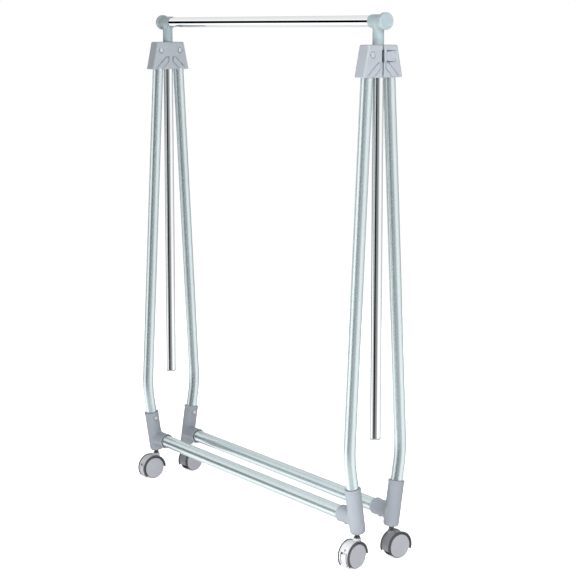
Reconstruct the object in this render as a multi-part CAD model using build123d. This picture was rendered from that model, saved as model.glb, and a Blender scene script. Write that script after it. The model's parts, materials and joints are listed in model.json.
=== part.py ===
"""Rolling clothes rack: two bent-leg side frames on swivel casters, with a hanging rail on telescopic posts.

Millimetres. X runs along the hanging rail, -Y is the side with the braked casters and Z is up.
The origin is on the floor, under the middle of the rack. The hanging rail is at its lowest.
Each function returns one kind of piece; the dictionary `nodes` at the end names them all.
"""
from build123d import *
from math import atan2, cos, degrees, radians, sin
import os

# Overall layout
POST_SPACING = 776.0        # between the axes of the two posts, along X
HEAD_TOP_Z = 1016.0         # top of the clamp heads above the floor
HEAD_HEIGHT = 62.0
NECK_RISE = 44.0            # hanging rail's axis above the heads when lowered
POST_LENGTH = 753.0         # telescopic post, from the tee's neck to the plug
BEND_Z = 217.0              # where the legs turn inwards
BEND_Y = 64.0               # leg axis from the middle plane at the bend
STEM_Y = 43.0               # caster stems and bottom rails from the middle plane

# Clearances
SLIP = 0.1                  # radial gap of a piece pushed or glued into another
RUNNING = 0.05              # radial gap of a shaft that turns or slides in a hole
GAP = 0.4                   # air between moving pieces

# Tubes
LEG_RADIUS = 12.2
POST_RADIUS = 11.0
RAIL_RADIUS = 11.0
BOTTOM_RAIL_RADIUS = 13.8
TUBE_WALL = 1.0
LEG_BEND_RADIUS = 260.0
LEG_INSERT = 28.0           # leg's length inside the head

# Clamp head: a trapezoid block with a slit and a flip lever in its outer face
BUSH_WALL = 1.5
BUSH_INSET = 6.0            # bush ends below the head's top and above its underside
LEG_TO_BUSH = 2.25          # between bush and leg at the head's underside
HEAD_SIDE_WALL = 8.8        # outside the legs, at the underside
HEAD_TAPER = 13.0           # each side, up to the top
HEAD_OUTER_WALL = 3.95      # between outer face and the widest of leg and bush
HEAD_INNER_WALL = 0.95
HEAD_ROUND = 1.6
SLIT = 2.6
LEVER_GAP = 5.2             # slit's width beside the lever
RIB_HEIGHT = 0.8
RIB_START_Y = 6.0           # upper end of a rib, from the middle
RIB_TOP_WIDTH = 6.9
RIB_MARGIN = 10.1           # rib's foot from the head's edge
RIB_FOOT_WIDTH = 15.7
RIB_TOP_DROP = 34.5         # below the head's top
RIB_INNER_DROP = 43.4
RIB_FOOT = 2.0              # above the head's underside

# Flip lever
LEVER_PIN_CLEAR = 0.45      # pin's axis outside the bush
LEVER_PIN_RADIUS = 1.5
LEVER_HUB = 3.9
LEVER_RECESS = 0.2          # lever's face below the head's
LEVER_THICK = 3.2
LEVER_LENGTH = 16.0         # from its pin
LEVER_LOW = 32.5            # lower and upper edges below the head's top
LEVER_HIGH = 10.5
LEVER_PIN_EXTRA = 5.0       # pin's length beyond the lever, each end

# Bolts through the heads, and the plugs in the leg ends that they hold
BOLT_INSET = 2.4            # bolt's axis inside the leg's, which leans inwards
BOLT_DROP = 19.0
BOLT_RADIUS = 2.5
BOLT_HEAD_RADIUS = 4.8
BOLT_HEAD_HEIGHT = 2.4
COUNTERBORE = 1.2
PLUG_LENGTH = 22.0
TANG_END = 6.0              # tang's end above the bolt
TANG_HALF_Y = 6.5
TANG_HALF_X = 4.0

# Tee fittings and end caps
TEE_WALL = 2.0
TEE_INNER = 20.0            # barrel's mouth from the neck axis
TEE_OUTER = 17.0            # barrel's closed end
TEE_WEB = 6.0               # rail's end past the neck axis
NECK_DEPTH = 11.0           # neck's end below the head's top
SPIGOT_LENGTH = 26.0
CAP_RIM = 3.5               # cap's edge outside the barrel
CAP_THICK = 9.0
CAP_ROUND = 2.0
CAP_SPIGOT = 9.0
CAP_SPIGOT_LENGTH = 7.0

# Plugs in the lower ends of the posts
PLUG_FACE = 3.0
PLUG_SPIGOT = 18.0

# Foot connectors
FOOT_CLEAR = 7.0            # underside above the caster's boss
FOOT_PIVOT_RISE = 16.0      # above the underside, where the lower leg's axis crosses the stem's axis
FOOT_WALL = 3.6
FOOT_LENGTH = 95.0
FOOT_ROUND = 7.0
FOOT_COLLAR = 0.8
FOOT_COLLAR_LENGTH = 5.0
LEG_SEAT_RISE = 10.0        # leg's end above the stem socket
BARREL_WALL = 2.6
BARREL_REACH = 50.0
BARREL_SEAT_GAP = 6.8       # bottom rail's end from the leg
RAIL_RISE = 31.0            # bottom rail's axis above the underside
LEG_SCREW_DROP = 14.0       # below the connector's mouth
SCREW_RADIUS = 2.0
SCREW_HEAD_RADIUS = 4.0
SCREW_HEAD_HEIGHT = 2.2
SCREW_GRIP = 6.0
RAIL_SCREW_INSET = 14.0     # from the barrel's mouth

# Caster, trailing towards its own -Y
WHEEL_RADIUS = 25.0
WHEEL_WIDTH = 6.6
WHEEL_GAP = 0.6             # between web and wheel
TRAIL = 12.0
WEB_HALF = 5.0
DISC_THICK = 1.8
DISC_INSET = 0.8            # disc's edge inside the tread
DISC_ROUND = 1.2
TREAD_ROUND = 1.4
AXLE_RADIUS = 2.5
FENDER_GAP = 0.9
FENDER_WALL = 2.1
FENDER_SPAN = 220.0         # degrees
FENDER_START = {"front": 0.0, "back": -20.0}
FENDER_ROUND = 0.8
WEB_DROP = 10.0             # web's lower edge below the axle
BOSS_RADIUS = 8.0
BOSS_RISE = 4.0             # above the fender
STEM_RADIUS = 5.0
PIVOT_RADIUS = 3.5
PIVOT_LENGTH = 20.0
STEM_FLANGE = 1.6           # flange's edge outside the stem
STEM_FLANGE_HEIGHT = 1.8
SOCKET_WALL = 2.4
SOCKET_INSET = 3.0          # above the connector's underside
SOCKET_LENGTH = 25.0
REST_TURN = {"front_left": 0.0, "front_right": 10.0, "back_right": 180.0, "back_left": 190.0}

# Brake pedal, in degrees about the axle from the caster's +Y over the top
PEDAL_START = 166.0
PEDAL_END = 221.0
PEDAL_LIP_START = 210.0
PEDAL_WALL = 2.1
PEDAL_LIP = 1.0
PEDAL_HALF = 7.0
PEDAL_SLOT_START = 158.0
LUG_HALF = 1.7
LUG_RADIUS = 3.0
LUG_ROOM = 12.0             # lug's slot starts this far before the pedal's
LUG_ROOM_END = 235.0
TRUNNION_DEPTH = 4.4        # pivot inside the fender
TRUNNION_ANGLE = 160.0
TRUNNION_RADIUS = 1.3

# Worked-out places
HALF_SPACING = POST_SPACING / 2
HEAD_BOTTOM_Z = HEAD_TOP_Z - HEAD_HEIGHT
RAIL_AXIS_Z = HEAD_TOP_Z + NECK_RISE
NECK_BOTTOM_Z = HEAD_TOP_Z - NECK_DEPTH
POST_BOTTOM_Z = NECK_BOTTOM_Z - POST_LENGTH
LEG_TOP_Z = HEAD_BOTTOM_Z + LEG_INSERT
BUSH_RADIUS = POST_RADIUS + RUNNING + BUSH_WALL
LEG_HEAD_Y = BUSH_RADIUS + LEG_TO_BUSH + LEG_RADIUS
HEAD_BOTTOM_HALF = LEG_HEAD_Y + LEG_RADIUS + HEAD_SIDE_WALL
HEAD_TOP_HALF = HEAD_BOTTOM_HALF - HEAD_TAPER
HEAD_CORE = max(LEG_RADIUS, BUSH_RADIUS)
HEAD_OUTER = HEAD_CORE + HEAD_OUTER_WALL
HEAD_INNER = HEAD_CORE + HEAD_INNER_WALL
LEVER_PIN_Y = BUSH_RADIUS + LEVER_PIN_CLEAR
LEVER_PIN_X = HEAD_OUTER - LEVER_RECESS - LEVER_HUB
LEVER_END_Y = LEVER_PIN_Y + LEVER_LENGTH
BOLT_Y = LEG_HEAD_Y - BOLT_INSET
BOLT_Z = HEAD_TOP_Z - BOLT_DROP
TANG_LENGTH = BOLT_Z + TANG_END - LEG_TOP_Z
TEE_RADIUS = RAIL_RADIUS + TEE_WALL
CAP_RADIUS = TEE_RADIUS + CAP_RIM
WHEEL_INNER = WEB_HALF + WHEEL_GAP
WHEEL_OUTER = WHEEL_INNER + WHEEL_WIDTH
DISC_OUTER = WHEEL_OUTER + DISC_THICK
DISC_RADIUS = WHEEL_RADIUS - DISC_INSET
FENDER_INNER = WHEEL_RADIUS + FENDER_GAP
FENDER_OUTER = FENDER_INNER + FENDER_WALL
FENDER_HALF = DISC_OUTER - DISC_INSET
BOSS_TOP_Z = WHEEL_RADIUS + FENDER_OUTER + BOSS_RISE
PIVOT_BOTTOM_Z = BOSS_TOP_Z - PIVOT_LENGTH
FOOT_BOTTOM_Z = BOSS_TOP_Z + FOOT_CLEAR
FOOT_PIVOT_Z = FOOT_BOTTOM_Z + FOOT_PIVOT_RISE
FOOT_RADIUS = LEG_RADIUS + FOOT_WALL
RAIL_Z = FOOT_BOTTOM_Z + RAIL_RISE
BARREL_RADIUS = BOTTOM_RAIL_RADIUS + BARREL_WALL
BARREL_SEAT = LEG_RADIUS + BARREL_SEAT_GAP
SOCKET_BOTTOM_Z = FOOT_BOTTOM_Z + SOCKET_INSET
LEG_SEAT = SOCKET_INSET + SOCKET_LENGTH + LEG_SEAT_RISE
PEDAL_INNER = FENDER_INNER + GAP
PEDAL_OUTER = PEDAL_INNER + PEDAL_WALL
TRUNNION_R = FENDER_INNER - TRUNNION_DEPTH
SPREAD = (BEND_Y - LEG_HEAD_Y) / (HEAD_BOTTOM_Z - BEND_Z)
TUCK = (BEND_Y - STEM_Y) / (BEND_Z - FOOT_PIVOT_Z)
SIDES = {"left": -1, "right": 1}
ENDS = {"front": -1, "back": 1}
FAR = 80.0                  # longer than any cut needs


def upper_y(z):
    """Leg axis from the middle plane, above the bend."""
    return BEND_Y - SPREAD * (z - BEND_Z)


def lower_y(z):
    """Leg axis from the middle plane, below the bend."""
    return STEM_Y + TUCK * (z - FOOT_PIVOT_Z)


def rod(start, end, radius):
    """Round bar between two points."""
    start, end = Vector(*start), Vector(*end)
    return extrude(Plane(origin=start, z_dir=end - start) * Circle(radius), (end - start).length)


def tube(start, end, radius, wall=TUBE_WALL):
    """Straight tube between two points."""
    return rod(start, end, radius) - rod(start, end, radius - wall)


def block(low, high):
    """Box between two corners."""
    low, high = Vector(*low), Vector(*high)
    size = high - low
    return Pos(*((low + high) / 2)) * Box(size.X, size.Y, size.Z)


def on_side(shape, side):
    """Carry a piece made for the right-hand post to its own side; the left one is turned half round."""
    turn = 0 if side > 0 else 180
    return Pos(side * HALF_SPACING, 0, 0) * Rot(0, 0, turn) * shape


# ---- Side frames ----

def leg_axis(end):
    """Top, bend and lower end of a leg's axis, in the plane of its side frame."""
    foot = foot_point(LEG_SEAT, end)
    return (0, end * upper_y(LEG_TOP_Z), LEG_TOP_Z), (0, end * BEND_Y, BEND_Z), foot


def foot_point(along, end):
    """Point on the lower leg's axis, measured up from the connector's underside."""
    length = (1 + TUCK**2) ** 0.5
    z = FOOT_BOTTOM_Z + along / length
    return (0, end * lower_y(z), z)


def leg(side, end):
    top, bend, foot = leg_axis(end)
    path = FilletPolyline(top, bend, foot, radius=LEG_BEND_RADIUS)
    ring = Circle(LEG_RADIUS) - Circle(LEG_RADIUS - TUBE_WALL)
    pipe = sweep(Plane(origin=path @ 0, z_dir=path % 0) * ring, path=path)
    bore = rod(*leg_screw_line(side, end), SCREW_RADIUS + SLIP)
    return Pos(side * HALF_SPACING, 0, 0) * (pipe - bore)


def leg_plug(end):
    """Plug in a leg's top end, with a tang that the head's bolt goes through."""
    top, bend, _ = leg_axis(end)
    frame = Plane(origin=top, x_dir=(1, 0, 0), z_dir=Vector(*top) - Vector(*bend))
    body = extrude(frame * Circle(LEG_RADIUS - TUBE_WALL - SLIP), -PLUG_LENGTH)
    tang = extrude(frame * Rectangle(2 * TANG_HALF_X, 2 * TANG_HALF_Y), TANG_LENGTH)
    return body + tang - bolt_bar(end, BOLT_RADIUS + SLIP)


def bolt_bar(end, radius):
    """Round bar along the axis of one head bolt, right through the head."""
    return rod((-FAR / 2, end * BOLT_Y, BOLT_Z), (FAR / 2, end * BOLT_Y, BOLT_Z), radius)


def bottom_rail(end):
    reach = HALF_SPACING - BARREL_SEAT
    pipe = tube((-reach, end * STEM_Y, RAIL_Z), (reach, end * STEM_Y, RAIL_Z), BOTTOM_RAIL_RADIUS)
    for side in SIDES.values():
        x = side * (HALF_SPACING - BARREL_REACH + RAIL_SCREW_INSET)
        pipe -= rod((x, end * STEM_Y, 0), (x, end * STEM_Y, RAIL_Z), SCREW_RADIUS + SLIP)
    return pipe


# ---- Clamp heads, made for the right-hand post with their outer face towards +X ----

def lever_slot_shape(room):
    """Flip lever's outline seen from above, grown by a clearance."""
    hub = Pos(LEVER_PIN_X, LEVER_PIN_Y) * Circle(LEVER_HUB + room)
    inner = LEVER_PIN_X + LEVER_HUB - LEVER_THICK - room
    outer = LEVER_PIN_X + LEVER_HUB
    plate = Pos((inner + outer) / 2, (LEVER_PIN_Y + LEVER_END_Y + room) / 2) * Rectangle(
        outer - inner, LEVER_END_Y + room - LEVER_PIN_Y)
    return hub + plate


def chevron_ribs():
    """Raised slanting bars on the lower half of both faces, one each side of the middle."""
    foot_z = HEAD_BOTTOM_Z + RIB_FOOT
    outline = Polyline(
        (RIB_START_Y, HEAD_TOP_Z - RIB_TOP_DROP),
        (RIB_START_Y + RIB_TOP_WIDTH, HEAD_TOP_Z - RIB_TOP_DROP),
        (HEAD_BOTTOM_HALF - RIB_MARGIN, foot_z), (HEAD_BOTTOM_HALF - RIB_MARGIN - RIB_FOOT_WIDTH, foot_z),
        (RIB_START_Y, HEAD_TOP_Z - RIB_INNER_DROP), close=True)
    bar = extrude(Plane.YZ.offset(-HEAD_INNER - RIB_HEIGHT) * make_face(outline),
                  HEAD_INNER + HEAD_OUTER + 2 * RIB_HEIGHT)
    return [bar, mirror(bar, Plane.XZ)]


def clamp_head():
    outline = Polyline(
        (-HEAD_BOTTOM_HALF, HEAD_BOTTOM_Z), (HEAD_BOTTOM_HALF, HEAD_BOTTOM_Z),
        (HEAD_TOP_HALF, HEAD_TOP_Z), (-HEAD_TOP_HALF, HEAD_TOP_Z), close=True)
    body = extrude(Plane.YZ.offset(-HEAD_INNER) * make_face(outline), HEAD_INNER + HEAD_OUTER)
    body = fillet(body.edges(), HEAD_ROUND)
    for bar in chevron_ribs():
        body += bar
    # Bore for the bush and post, with a lip above and below the bush
    body -= rod((0, 0, HEAD_BOTTOM_Z - 1), (0, 0, HEAD_TOP_Z + 1), POST_RADIUS + GAP)
    body -= rod((0, 0, HEAD_BOTTOM_Z - 1), (0, 0, HEAD_TOP_Z - BUSH_INSET), BUSH_RADIUS + SLIP)
    # Slit, wider beside the lever
    body -= block((0, -SLIT / 2, HEAD_BOTTOM_Z - 1), (FAR, SLIT / 2, HEAD_TOP_Z + 1))
    low, high = HEAD_TOP_Z - LEVER_LOW - GAP, HEAD_TOP_Z - LEVER_HIGH + GAP
    body -= block((0, -LEVER_GAP / 2, low), (FAR, LEVER_GAP / 2, high))
    # Recess for the lever and its pin
    recess = Pos(0, 0, low) * extrude(lever_slot_shape(GAP), high - low)
    mouth = block((LEVER_PIN_X, LEVER_PIN_Y - LEVER_HUB - GAP, low),
                  (FAR, LEVER_END_Y + GAP, high))
    body -= recess + mouth
    body -= rod(*lever_pin_line(), LEVER_PIN_RADIUS + SLIP)
    # Leg sockets, tang pockets, bolt holes and counterbores
    for end in ENDS.values():
        top, bend, _ = leg_axis(end)
        body -= rod(bend, top, LEG_RADIUS + SLIP)
        frame = Plane(origin=top, x_dir=(1, 0, 0), z_dir=Vector(*top) - Vector(*bend))
        pocket = Rectangle(2 * (TANG_HALF_X + SLIP), 2 * (TANG_HALF_Y + SLIP))
        body -= extrude(frame * pocket, TANG_LENGTH + SLIP)
        body -= bolt_bar(end, BOLT_RADIUS + SLIP)
        inner = -HEAD_INNER + COUNTERBORE
        body -= rod((-FAR, end * BOLT_Y, BOLT_Z), (inner, end * BOLT_Y, BOLT_Z), BOLT_HEAD_RADIUS + GAP)
        body -= rod((nut_seat(end), end * BOLT_Y, BOLT_Z), (FAR, end * BOLT_Y, BOLT_Z),
                    BOLT_HEAD_RADIUS + GAP)
    return body


def nut_seat(end):
    """Seat of a bolt's sleeve nut: in the outer face, or sunk under the lever."""
    under_lever = LEVER_PIN_X + LEVER_HUB - LEVER_THICK - GAP - SLIP - BOLT_HEAD_HEIGHT
    return HEAD_OUTER - COUNTERBORE if end < 0 else under_lever


def screw_head(base, tip, radius, height):
    """Pan head between two points, rounded on its far edge."""
    head = rod(base, tip, radius)
    far = Vector(*tip)
    rim = head.edges().sort_by(lambda edge: (edge.center() - far).length)[0]
    return fillet(rim, height * 0.45)


def head_bolt(end):
    seat = -HEAD_INNER + COUNTERBORE
    shank = rod((seat, end * BOLT_Y, BOLT_Z), (nut_seat(end), end * BOLT_Y, BOLT_Z), BOLT_RADIUS)
    head = screw_head((seat, end * BOLT_Y, BOLT_Z), (seat - BOLT_HEAD_HEIGHT, end * BOLT_Y, BOLT_Z),
                      BOLT_HEAD_RADIUS, BOLT_HEAD_HEIGHT)
    return shank + head


def head_nut(end):
    seat = nut_seat(end)
    return screw_head((seat, end * BOLT_Y, BOLT_Z), (seat + BOLT_HEAD_HEIGHT, end * BOLT_Y, BOLT_Z),
                      BOLT_HEAD_RADIUS, BOLT_HEAD_HEIGHT)


def post_bush():
    """Split sleeve that guides the post and closes on it when the slit is squeezed."""
    sleeve = tube((0, 0, HEAD_BOTTOM_Z + BUSH_INSET), (0, 0, HEAD_TOP_Z - BUSH_INSET),
                  BUSH_RADIUS, BUSH_WALL)
    return sleeve - block((0, -SLIT / 2, 0), (FAR, SLIT / 2, HEAD_TOP_Z))


def lever_pin_line():
    """Two ends of the flip lever's pin."""
    return ((LEVER_PIN_X, LEVER_PIN_Y, HEAD_TOP_Z - LEVER_LOW - LEVER_PIN_EXTRA),
            (LEVER_PIN_X, LEVER_PIN_Y, HEAD_TOP_Z - LEVER_HIGH + LEVER_PIN_EXTRA))


def lever():
    low, high = HEAD_TOP_Z - LEVER_LOW, HEAD_TOP_Z - LEVER_HIGH
    body = Pos(0, 0, low) * extrude(lever_slot_shape(0), high - low)
    return body - rod(*lever_pin_line(), LEVER_PIN_RADIUS + RUNNING)


# ---- Telescopic carriage, made for the right-hand post ----

def tee():
    barrel = rod((-TEE_INNER, 0, RAIL_AXIS_Z), (TEE_OUTER, 0, RAIL_AXIS_Z), TEE_RADIUS)
    neck = rod((0, 0, NECK_BOTTOM_Z), (0, 0, RAIL_AXIS_Z), POST_RADIUS)
    spigot = rod((0, 0, NECK_BOTTOM_Z - SPIGOT_LENGTH), (0, 0, NECK_BOTTOM_Z),
                 POST_RADIUS - TUBE_WALL - SLIP)
    body = barrel + neck + spigot
    body -= rod((-TEE_INNER - 1, 0, RAIL_AXIS_Z), (TEE_WEB, 0, RAIL_AXIS_Z), RAIL_RADIUS + SLIP)
    seat = TEE_OUTER - CAP_SPIGOT_LENGTH
    return body - rod((seat, 0, RAIL_AXIS_Z), (FAR, 0, RAIL_AXIS_Z), CAP_SPIGOT + SLIP)


def end_cap():
    disc = rod((TEE_OUTER, 0, RAIL_AXIS_Z), (TEE_OUTER + CAP_THICK, 0, RAIL_AXIS_Z), CAP_RADIUS)
    disc = fillet(disc.edges().sort_by(Axis.X)[-1], CAP_ROUND)
    return disc + rod((TEE_OUTER - CAP_SPIGOT_LENGTH + SLIP, 0, RAIL_AXIS_Z), (TEE_OUTER, 0, RAIL_AXIS_Z),
                      CAP_SPIGOT)


def hanging_rail():
    reach = HALF_SPACING + TEE_WEB - SLIP
    return tube((-reach, 0, RAIL_AXIS_Z), (reach, 0, RAIL_AXIS_Z), RAIL_RADIUS)


def post():
    return tube((0, 0, POST_BOTTOM_Z), (0, 0, NECK_BOTTOM_Z), POST_RADIUS)


def post_plug():
    face = rod((0, 0, POST_BOTTOM_Z - PLUG_FACE), (0, 0, POST_BOTTOM_Z), POST_RADIUS)
    face = fillet(face.edges().sort_by(Axis.Z)[0], PLUG_FACE / 3)
    return face + rod((0, 0, POST_BOTTOM_Z), (0, 0, POST_BOTTOM_Z + PLUG_SPIGOT),
                      POST_RADIUS - TUBE_WALL - SLIP)


# ---- Foot connectors ----

def leg_screw_line(side, end):
    """From inside the leg out to the connector's face that looks at the other side frame."""
    _, y, z = foot_point(FOOT_LENGTH - LEG_SCREW_DROP, end)
    return (0, y, z), (-side * FOOT_RADIUS, y, z)


def foot_connector(side, end):
    low, high = foot_point(0, end), foot_point(FOOT_LENGTH, end)
    body = rod(low, high, FOOT_RADIUS)
    body = fillet(body.edges().sort_by(Axis.Z)[0], FOOT_ROUND)
    body += rod(foot_point(FOOT_LENGTH - FOOT_COLLAR_LENGTH, end), high, FOOT_RADIUS + FOOT_COLLAR)
    mouth = -side * BARREL_REACH
    body += rod((0, end * STEM_Y, RAIL_Z), (mouth, end * STEM_Y, RAIL_Z), BARREL_RADIUS)
    body -= rod(foot_point(LEG_SEAT, end), foot_point(FOOT_LENGTH + 1, end), LEG_RADIUS + SLIP)
    body -= rod((-side * BARREL_SEAT, end * STEM_Y, RAIL_Z), (2 * mouth, end * STEM_Y, RAIL_Z),
                BOTTOM_RAIL_RADIUS + SLIP)
    body -= rod((0, end * STEM_Y, 0), (0, end * STEM_Y, SOCKET_BOTTOM_Z), STEM_RADIUS + GAP)
    body -= rod((0, end * STEM_Y, SOCKET_BOTTOM_Z), (0, end * STEM_Y, SOCKET_BOTTOM_Z + SOCKET_LENGTH),
                STEM_RADIUS + SOCKET_WALL + SLIP)
    body -= rod(*leg_screw_line(side * 2, end), SCREW_RADIUS + SLIP)
    x = mouth + side * RAIL_SCREW_INSET
    body -= rod((x, end * STEM_Y, 0), (x, end * STEM_Y, RAIL_Z), SCREW_RADIUS + SLIP)
    return Pos(side * HALF_SPACING, 0, 0) * body


def leg_screw(side, end):
    centre, face = leg_screw_line(side, end)
    inner = (-side * (LEG_RADIUS - SCREW_GRIP), face[1], face[2])
    tip = (-side * (FOOT_RADIUS + SCREW_HEAD_HEIGHT), face[1], face[2])
    head = screw_head(face, tip, SCREW_HEAD_RADIUS, SCREW_HEAD_HEIGHT)
    return Pos(side * HALF_SPACING, 0, 0) * (rod(inner, face, SCREW_RADIUS) + head)


def rail_screw(side, end):
    x = side * (HALF_SPACING - BARREL_REACH + RAIL_SCREW_INSET)
    face_z = RAIL_Z - BARREL_RADIUS
    head = screw_head((x, end * STEM_Y, face_z), (x, end * STEM_Y, face_z - SCREW_HEAD_HEIGHT),
                      SCREW_HEAD_RADIUS, SCREW_HEAD_HEIGHT)
    return rod((x, end * STEM_Y, face_z), (x, end * STEM_Y, face_z + SCREW_GRIP), SCREW_RADIUS) + head


def stem_socket(side, end):
    """Blind nylon sleeve in the connector that grips the caster's stem."""
    x, y, low = side * HALF_SPACING, end * STEM_Y, SOCKET_BOTTOM_Z
    sleeve = rod((x, y, low), (x, y, low + SOCKET_LENGTH), STEM_RADIUS + SOCKET_WALL)
    return sleeve - rod((x, y, low), (x, y, low + SOCKET_LENGTH - SOCKET_WALL), STEM_RADIUS + SLIP)


# ---- Casters, made about their own stem and trailing towards -Y ----

def at_caster(shape, name):
    end, side = name.split("_")
    place = Pos(SIDES[side] * HALF_SPACING, ENDS[end] * STEM_Y, 0)
    return place * Rot(0, 0, REST_TURN[name]) * shape


def about_axle(radius, angle):
    """Point in the caster's middle plane, at an angle from its +Y over the top."""
    return (-TRAIL + radius * cos(radians(angle)), WHEEL_RADIUS + radius * sin(radians(angle)))


def drum(radius, low, high):
    """Solid cylinder on the axle's axis."""
    return rod((low, -TRAIL, WHEEL_RADIUS), (high, -TRAIL, WHEEL_RADIUS), radius)


def sector(start, end, radius, half_width):
    """Wedge on the axle's axis between two angles, at least as far out as a radius."""
    steps = [start + (end - start) * step / 4 for step in range(5)]
    outline = Polyline(about_axle(0, 0), *[about_axle(radius * 1.3, angle) for angle in steps], close=True)
    return extrude(Plane.YZ.offset(-half_width) * make_face(outline), 2 * half_width)


def stem():
    """Fixed pin: gripped by the socket above, with the hood turning on its lower end."""
    top = SOCKET_BOTTOM_Z + SOCKET_LENGTH - SOCKET_WALL - SLIP
    flange_z = BOSS_TOP_Z + GAP
    pivot = rod((0, 0, PIVOT_BOTTOM_Z), (0, 0, flange_z), PIVOT_RADIUS)
    flange = rod((0, 0, flange_z), (0, 0, flange_z + STEM_FLANGE_HEIGHT), STEM_RADIUS + STEM_FLANGE)
    return pivot + flange + rod((0, 0, flange_z), (0, 0, top), STEM_RADIUS)


def hood(end):
    start = FENDER_START[end]
    web = drum(FENDER_INNER, -WEB_HALF, WEB_HALF)
    web -= block((-FAR, -FAR, -FAR), (FAR, FAR, WHEEL_RADIUS - WEB_DROP))
    fender = drum(FENDER_OUTER, -FENDER_HALF, FENDER_HALF) - drum(FENDER_INNER, -FENDER_HALF, FENDER_HALF)
    fender = fillet(fender.edges().filter_by(
        lambda edge: edge.geom_type == GeomType.CIRCLE and edge.radius > FENDER_INNER + RUNNING), FENDER_ROUND)
    fender -= sector(start + FENDER_SPAN, start + 360, FENDER_OUTER, FAR)
    boss = rod((0, 0, WHEEL_RADIUS), (0, 0, BOSS_TOP_Z), BOSS_RADIUS)
    for side in (-1, 1):
        boss -= drum(FENDER_INNER, side * WEB_HALF, side * FAR)
    body = web + fender + boss
    body -= rod((0, 0, PIVOT_BOTTOM_Z - GAP), (0, 0, FAR), PIVOT_RADIUS + RUNNING)
    body -= drum(AXLE_RADIUS + RUNNING, -FAR, FAR)
    if end == "front":
        body -= sector(PEDAL_SLOT_START, start + FENDER_SPAN + 1, FENDER_OUTER, PEDAL_HALF + GAP) - drum(
            FENDER_INNER, -FAR, FAR)
        lug_room = sector(PEDAL_SLOT_START - LUG_ROOM, LUG_ROOM_END, FENDER_OUTER, LUG_HALF + GAP)
        body -= lug_room - drum(TRUNNION_R - LUG_RADIUS - GAP, -FAR, FAR)
        y, z = about_axle(TRUNNION_R, TRUNNION_ANGLE)
        body -= rod((-WEB_HALF, y, z), (WEB_HALF, y, z), TRUNNION_RADIUS + RUNNING)
    return body


def pedal():
    """Curved brake pedal hinged in the hood on its own trunnions."""
    plate = drum(PEDAL_OUTER, -PEDAL_HALF, PEDAL_HALF) & sector(PEDAL_START, PEDAL_END, PEDAL_OUTER, PEDAL_HALF)
    lip_radius = PEDAL_OUTER + PEDAL_LIP
    lip = drum(lip_radius, -PEDAL_HALF, PEDAL_HALF) & sector(PEDAL_LIP_START, PEDAL_END, lip_radius, PEDAL_HALF)
    plate = plate + lip - drum(PEDAL_INNER, -FAR, FAR)
    y, z = about_axle(TRUNNION_R, TRUNNION_ANGLE)
    knuckle = rod((-LUG_HALF, y, z), (LUG_HALF, y, z), LUG_RADIUS)
    neck = Polyline(
        about_axle(TRUNNION_R, TRUNNION_ANGLE), about_axle(PEDAL_INNER + RUNNING, PEDAL_START),
        about_axle(PEDAL_INNER + RUNNING, PEDAL_START + 10),
        about_axle(TRUNNION_R - LUG_RADIUS / 2, TRUNNION_ANGLE + 6), close=True)
    lug = extrude(Plane.YZ.offset(-LUG_HALF) * make_face(neck), 2 * LUG_HALF)
    return plate + knuckle + lug + rod((-WEB_HALF + GAP, y, z), (WEB_HALF - GAP, y, z), TRUNNION_RADIUS)


def wheel(side):
    body = drum(WHEEL_RADIUS, side * WHEEL_INNER, side * WHEEL_OUTER)
    body = fillet(body.edges(), TREAD_ROUND)
    return body - drum(AXLE_RADIUS, -FAR, FAR)


def hub_disc(side):
    disc = drum(DISC_RADIUS, side * WHEEL_OUTER, side * DISC_OUTER)
    rim = disc.edges().sort_by(Axis.X)[-1 if side > 0 else 0]
    return fillet(rim, DISC_ROUND)


def axle():
    return drum(AXLE_RADIUS, -WHEEL_OUTER, WHEEL_OUTER)


# ---- Every node by name ----

nodes = {"hanging_rail": hanging_rail()}
for side_name, side in SIDES.items():
    nodes[f"clamp_head_{side_name}"] = on_side(clamp_head(), side)
    nodes[f"post_bush_{side_name}"] = on_side(post_bush(), side)
    nodes[f"clamp_lever_{side_name}"] = on_side(lever(), side)
    nodes[f"lever_pin_{side_name}"] = on_side(rod(*lever_pin_line(), LEVER_PIN_RADIUS), side)
    nodes[f"tee_{side_name}"] = on_side(tee(), side)
    nodes[f"end_cap_{side_name}"] = on_side(end_cap(), side)
    nodes[f"post_{side_name}"] = on_side(post(), side)
    nodes[f"post_plug_{side_name}"] = on_side(post_plug(), side)
for end_name, end in ENDS.items():
    nodes[f"bottom_rail_{end_name}"] = bottom_rail(end)

pairs = [(side, end) for side in SIDES.values() for end in ENDS.values()]
for side_name, side in SIDES.items():
    for end_name, end in ENDS.items():
        corner = f"{end_name}_{side_name}"
        nodes[f"leg_{corner}"] = leg(side, end)
        nodes[f"foot_connector_{corner}"] = foot_connector(side, end)
        nodes[f"caster_stem_{corner}"] = at_caster(stem(), corner)
        nodes[f"caster_hood_{corner}"] = at_caster(hood(end_name), corner)
        nodes[f"caster_axle_{corner}"] = at_caster(axle(), corner)
        nodes[f"caster_hub_discs_{corner}"] = Compound(
            children=[at_caster(hub_disc(1), corner), at_caster(hub_disc(-1), corner)])
        outward = -side * end
        nodes[f"caster_wheel_outer_{corner}"] = at_caster(wheel(outward), corner)
        nodes[f"caster_wheel_inner_{corner}"] = at_caster(wheel(-outward), corner)
        if end_name == "front":
            nodes[f"brake_pedal_{corner}"] = at_caster(pedal(), corner)

groups = {
    "leg_plugs": [on_side(leg_plug(end), side) for side, end in pairs],
    "head_bolts": [on_side(head_bolt(end), side) for side, end in pairs],
    "head_nuts": [on_side(head_nut(end), side) for side, end in pairs],
    "leg_screws": [leg_screw(side, end) for side, end in pairs],
    "rail_screws": [rail_screw(side, end) for side, end in pairs],
    "stem_sockets": [stem_socket(side, end) for side, end in pairs],
}
for name, pieces in groups.items():
    nodes[name] = Compound(children=pieces)

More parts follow.
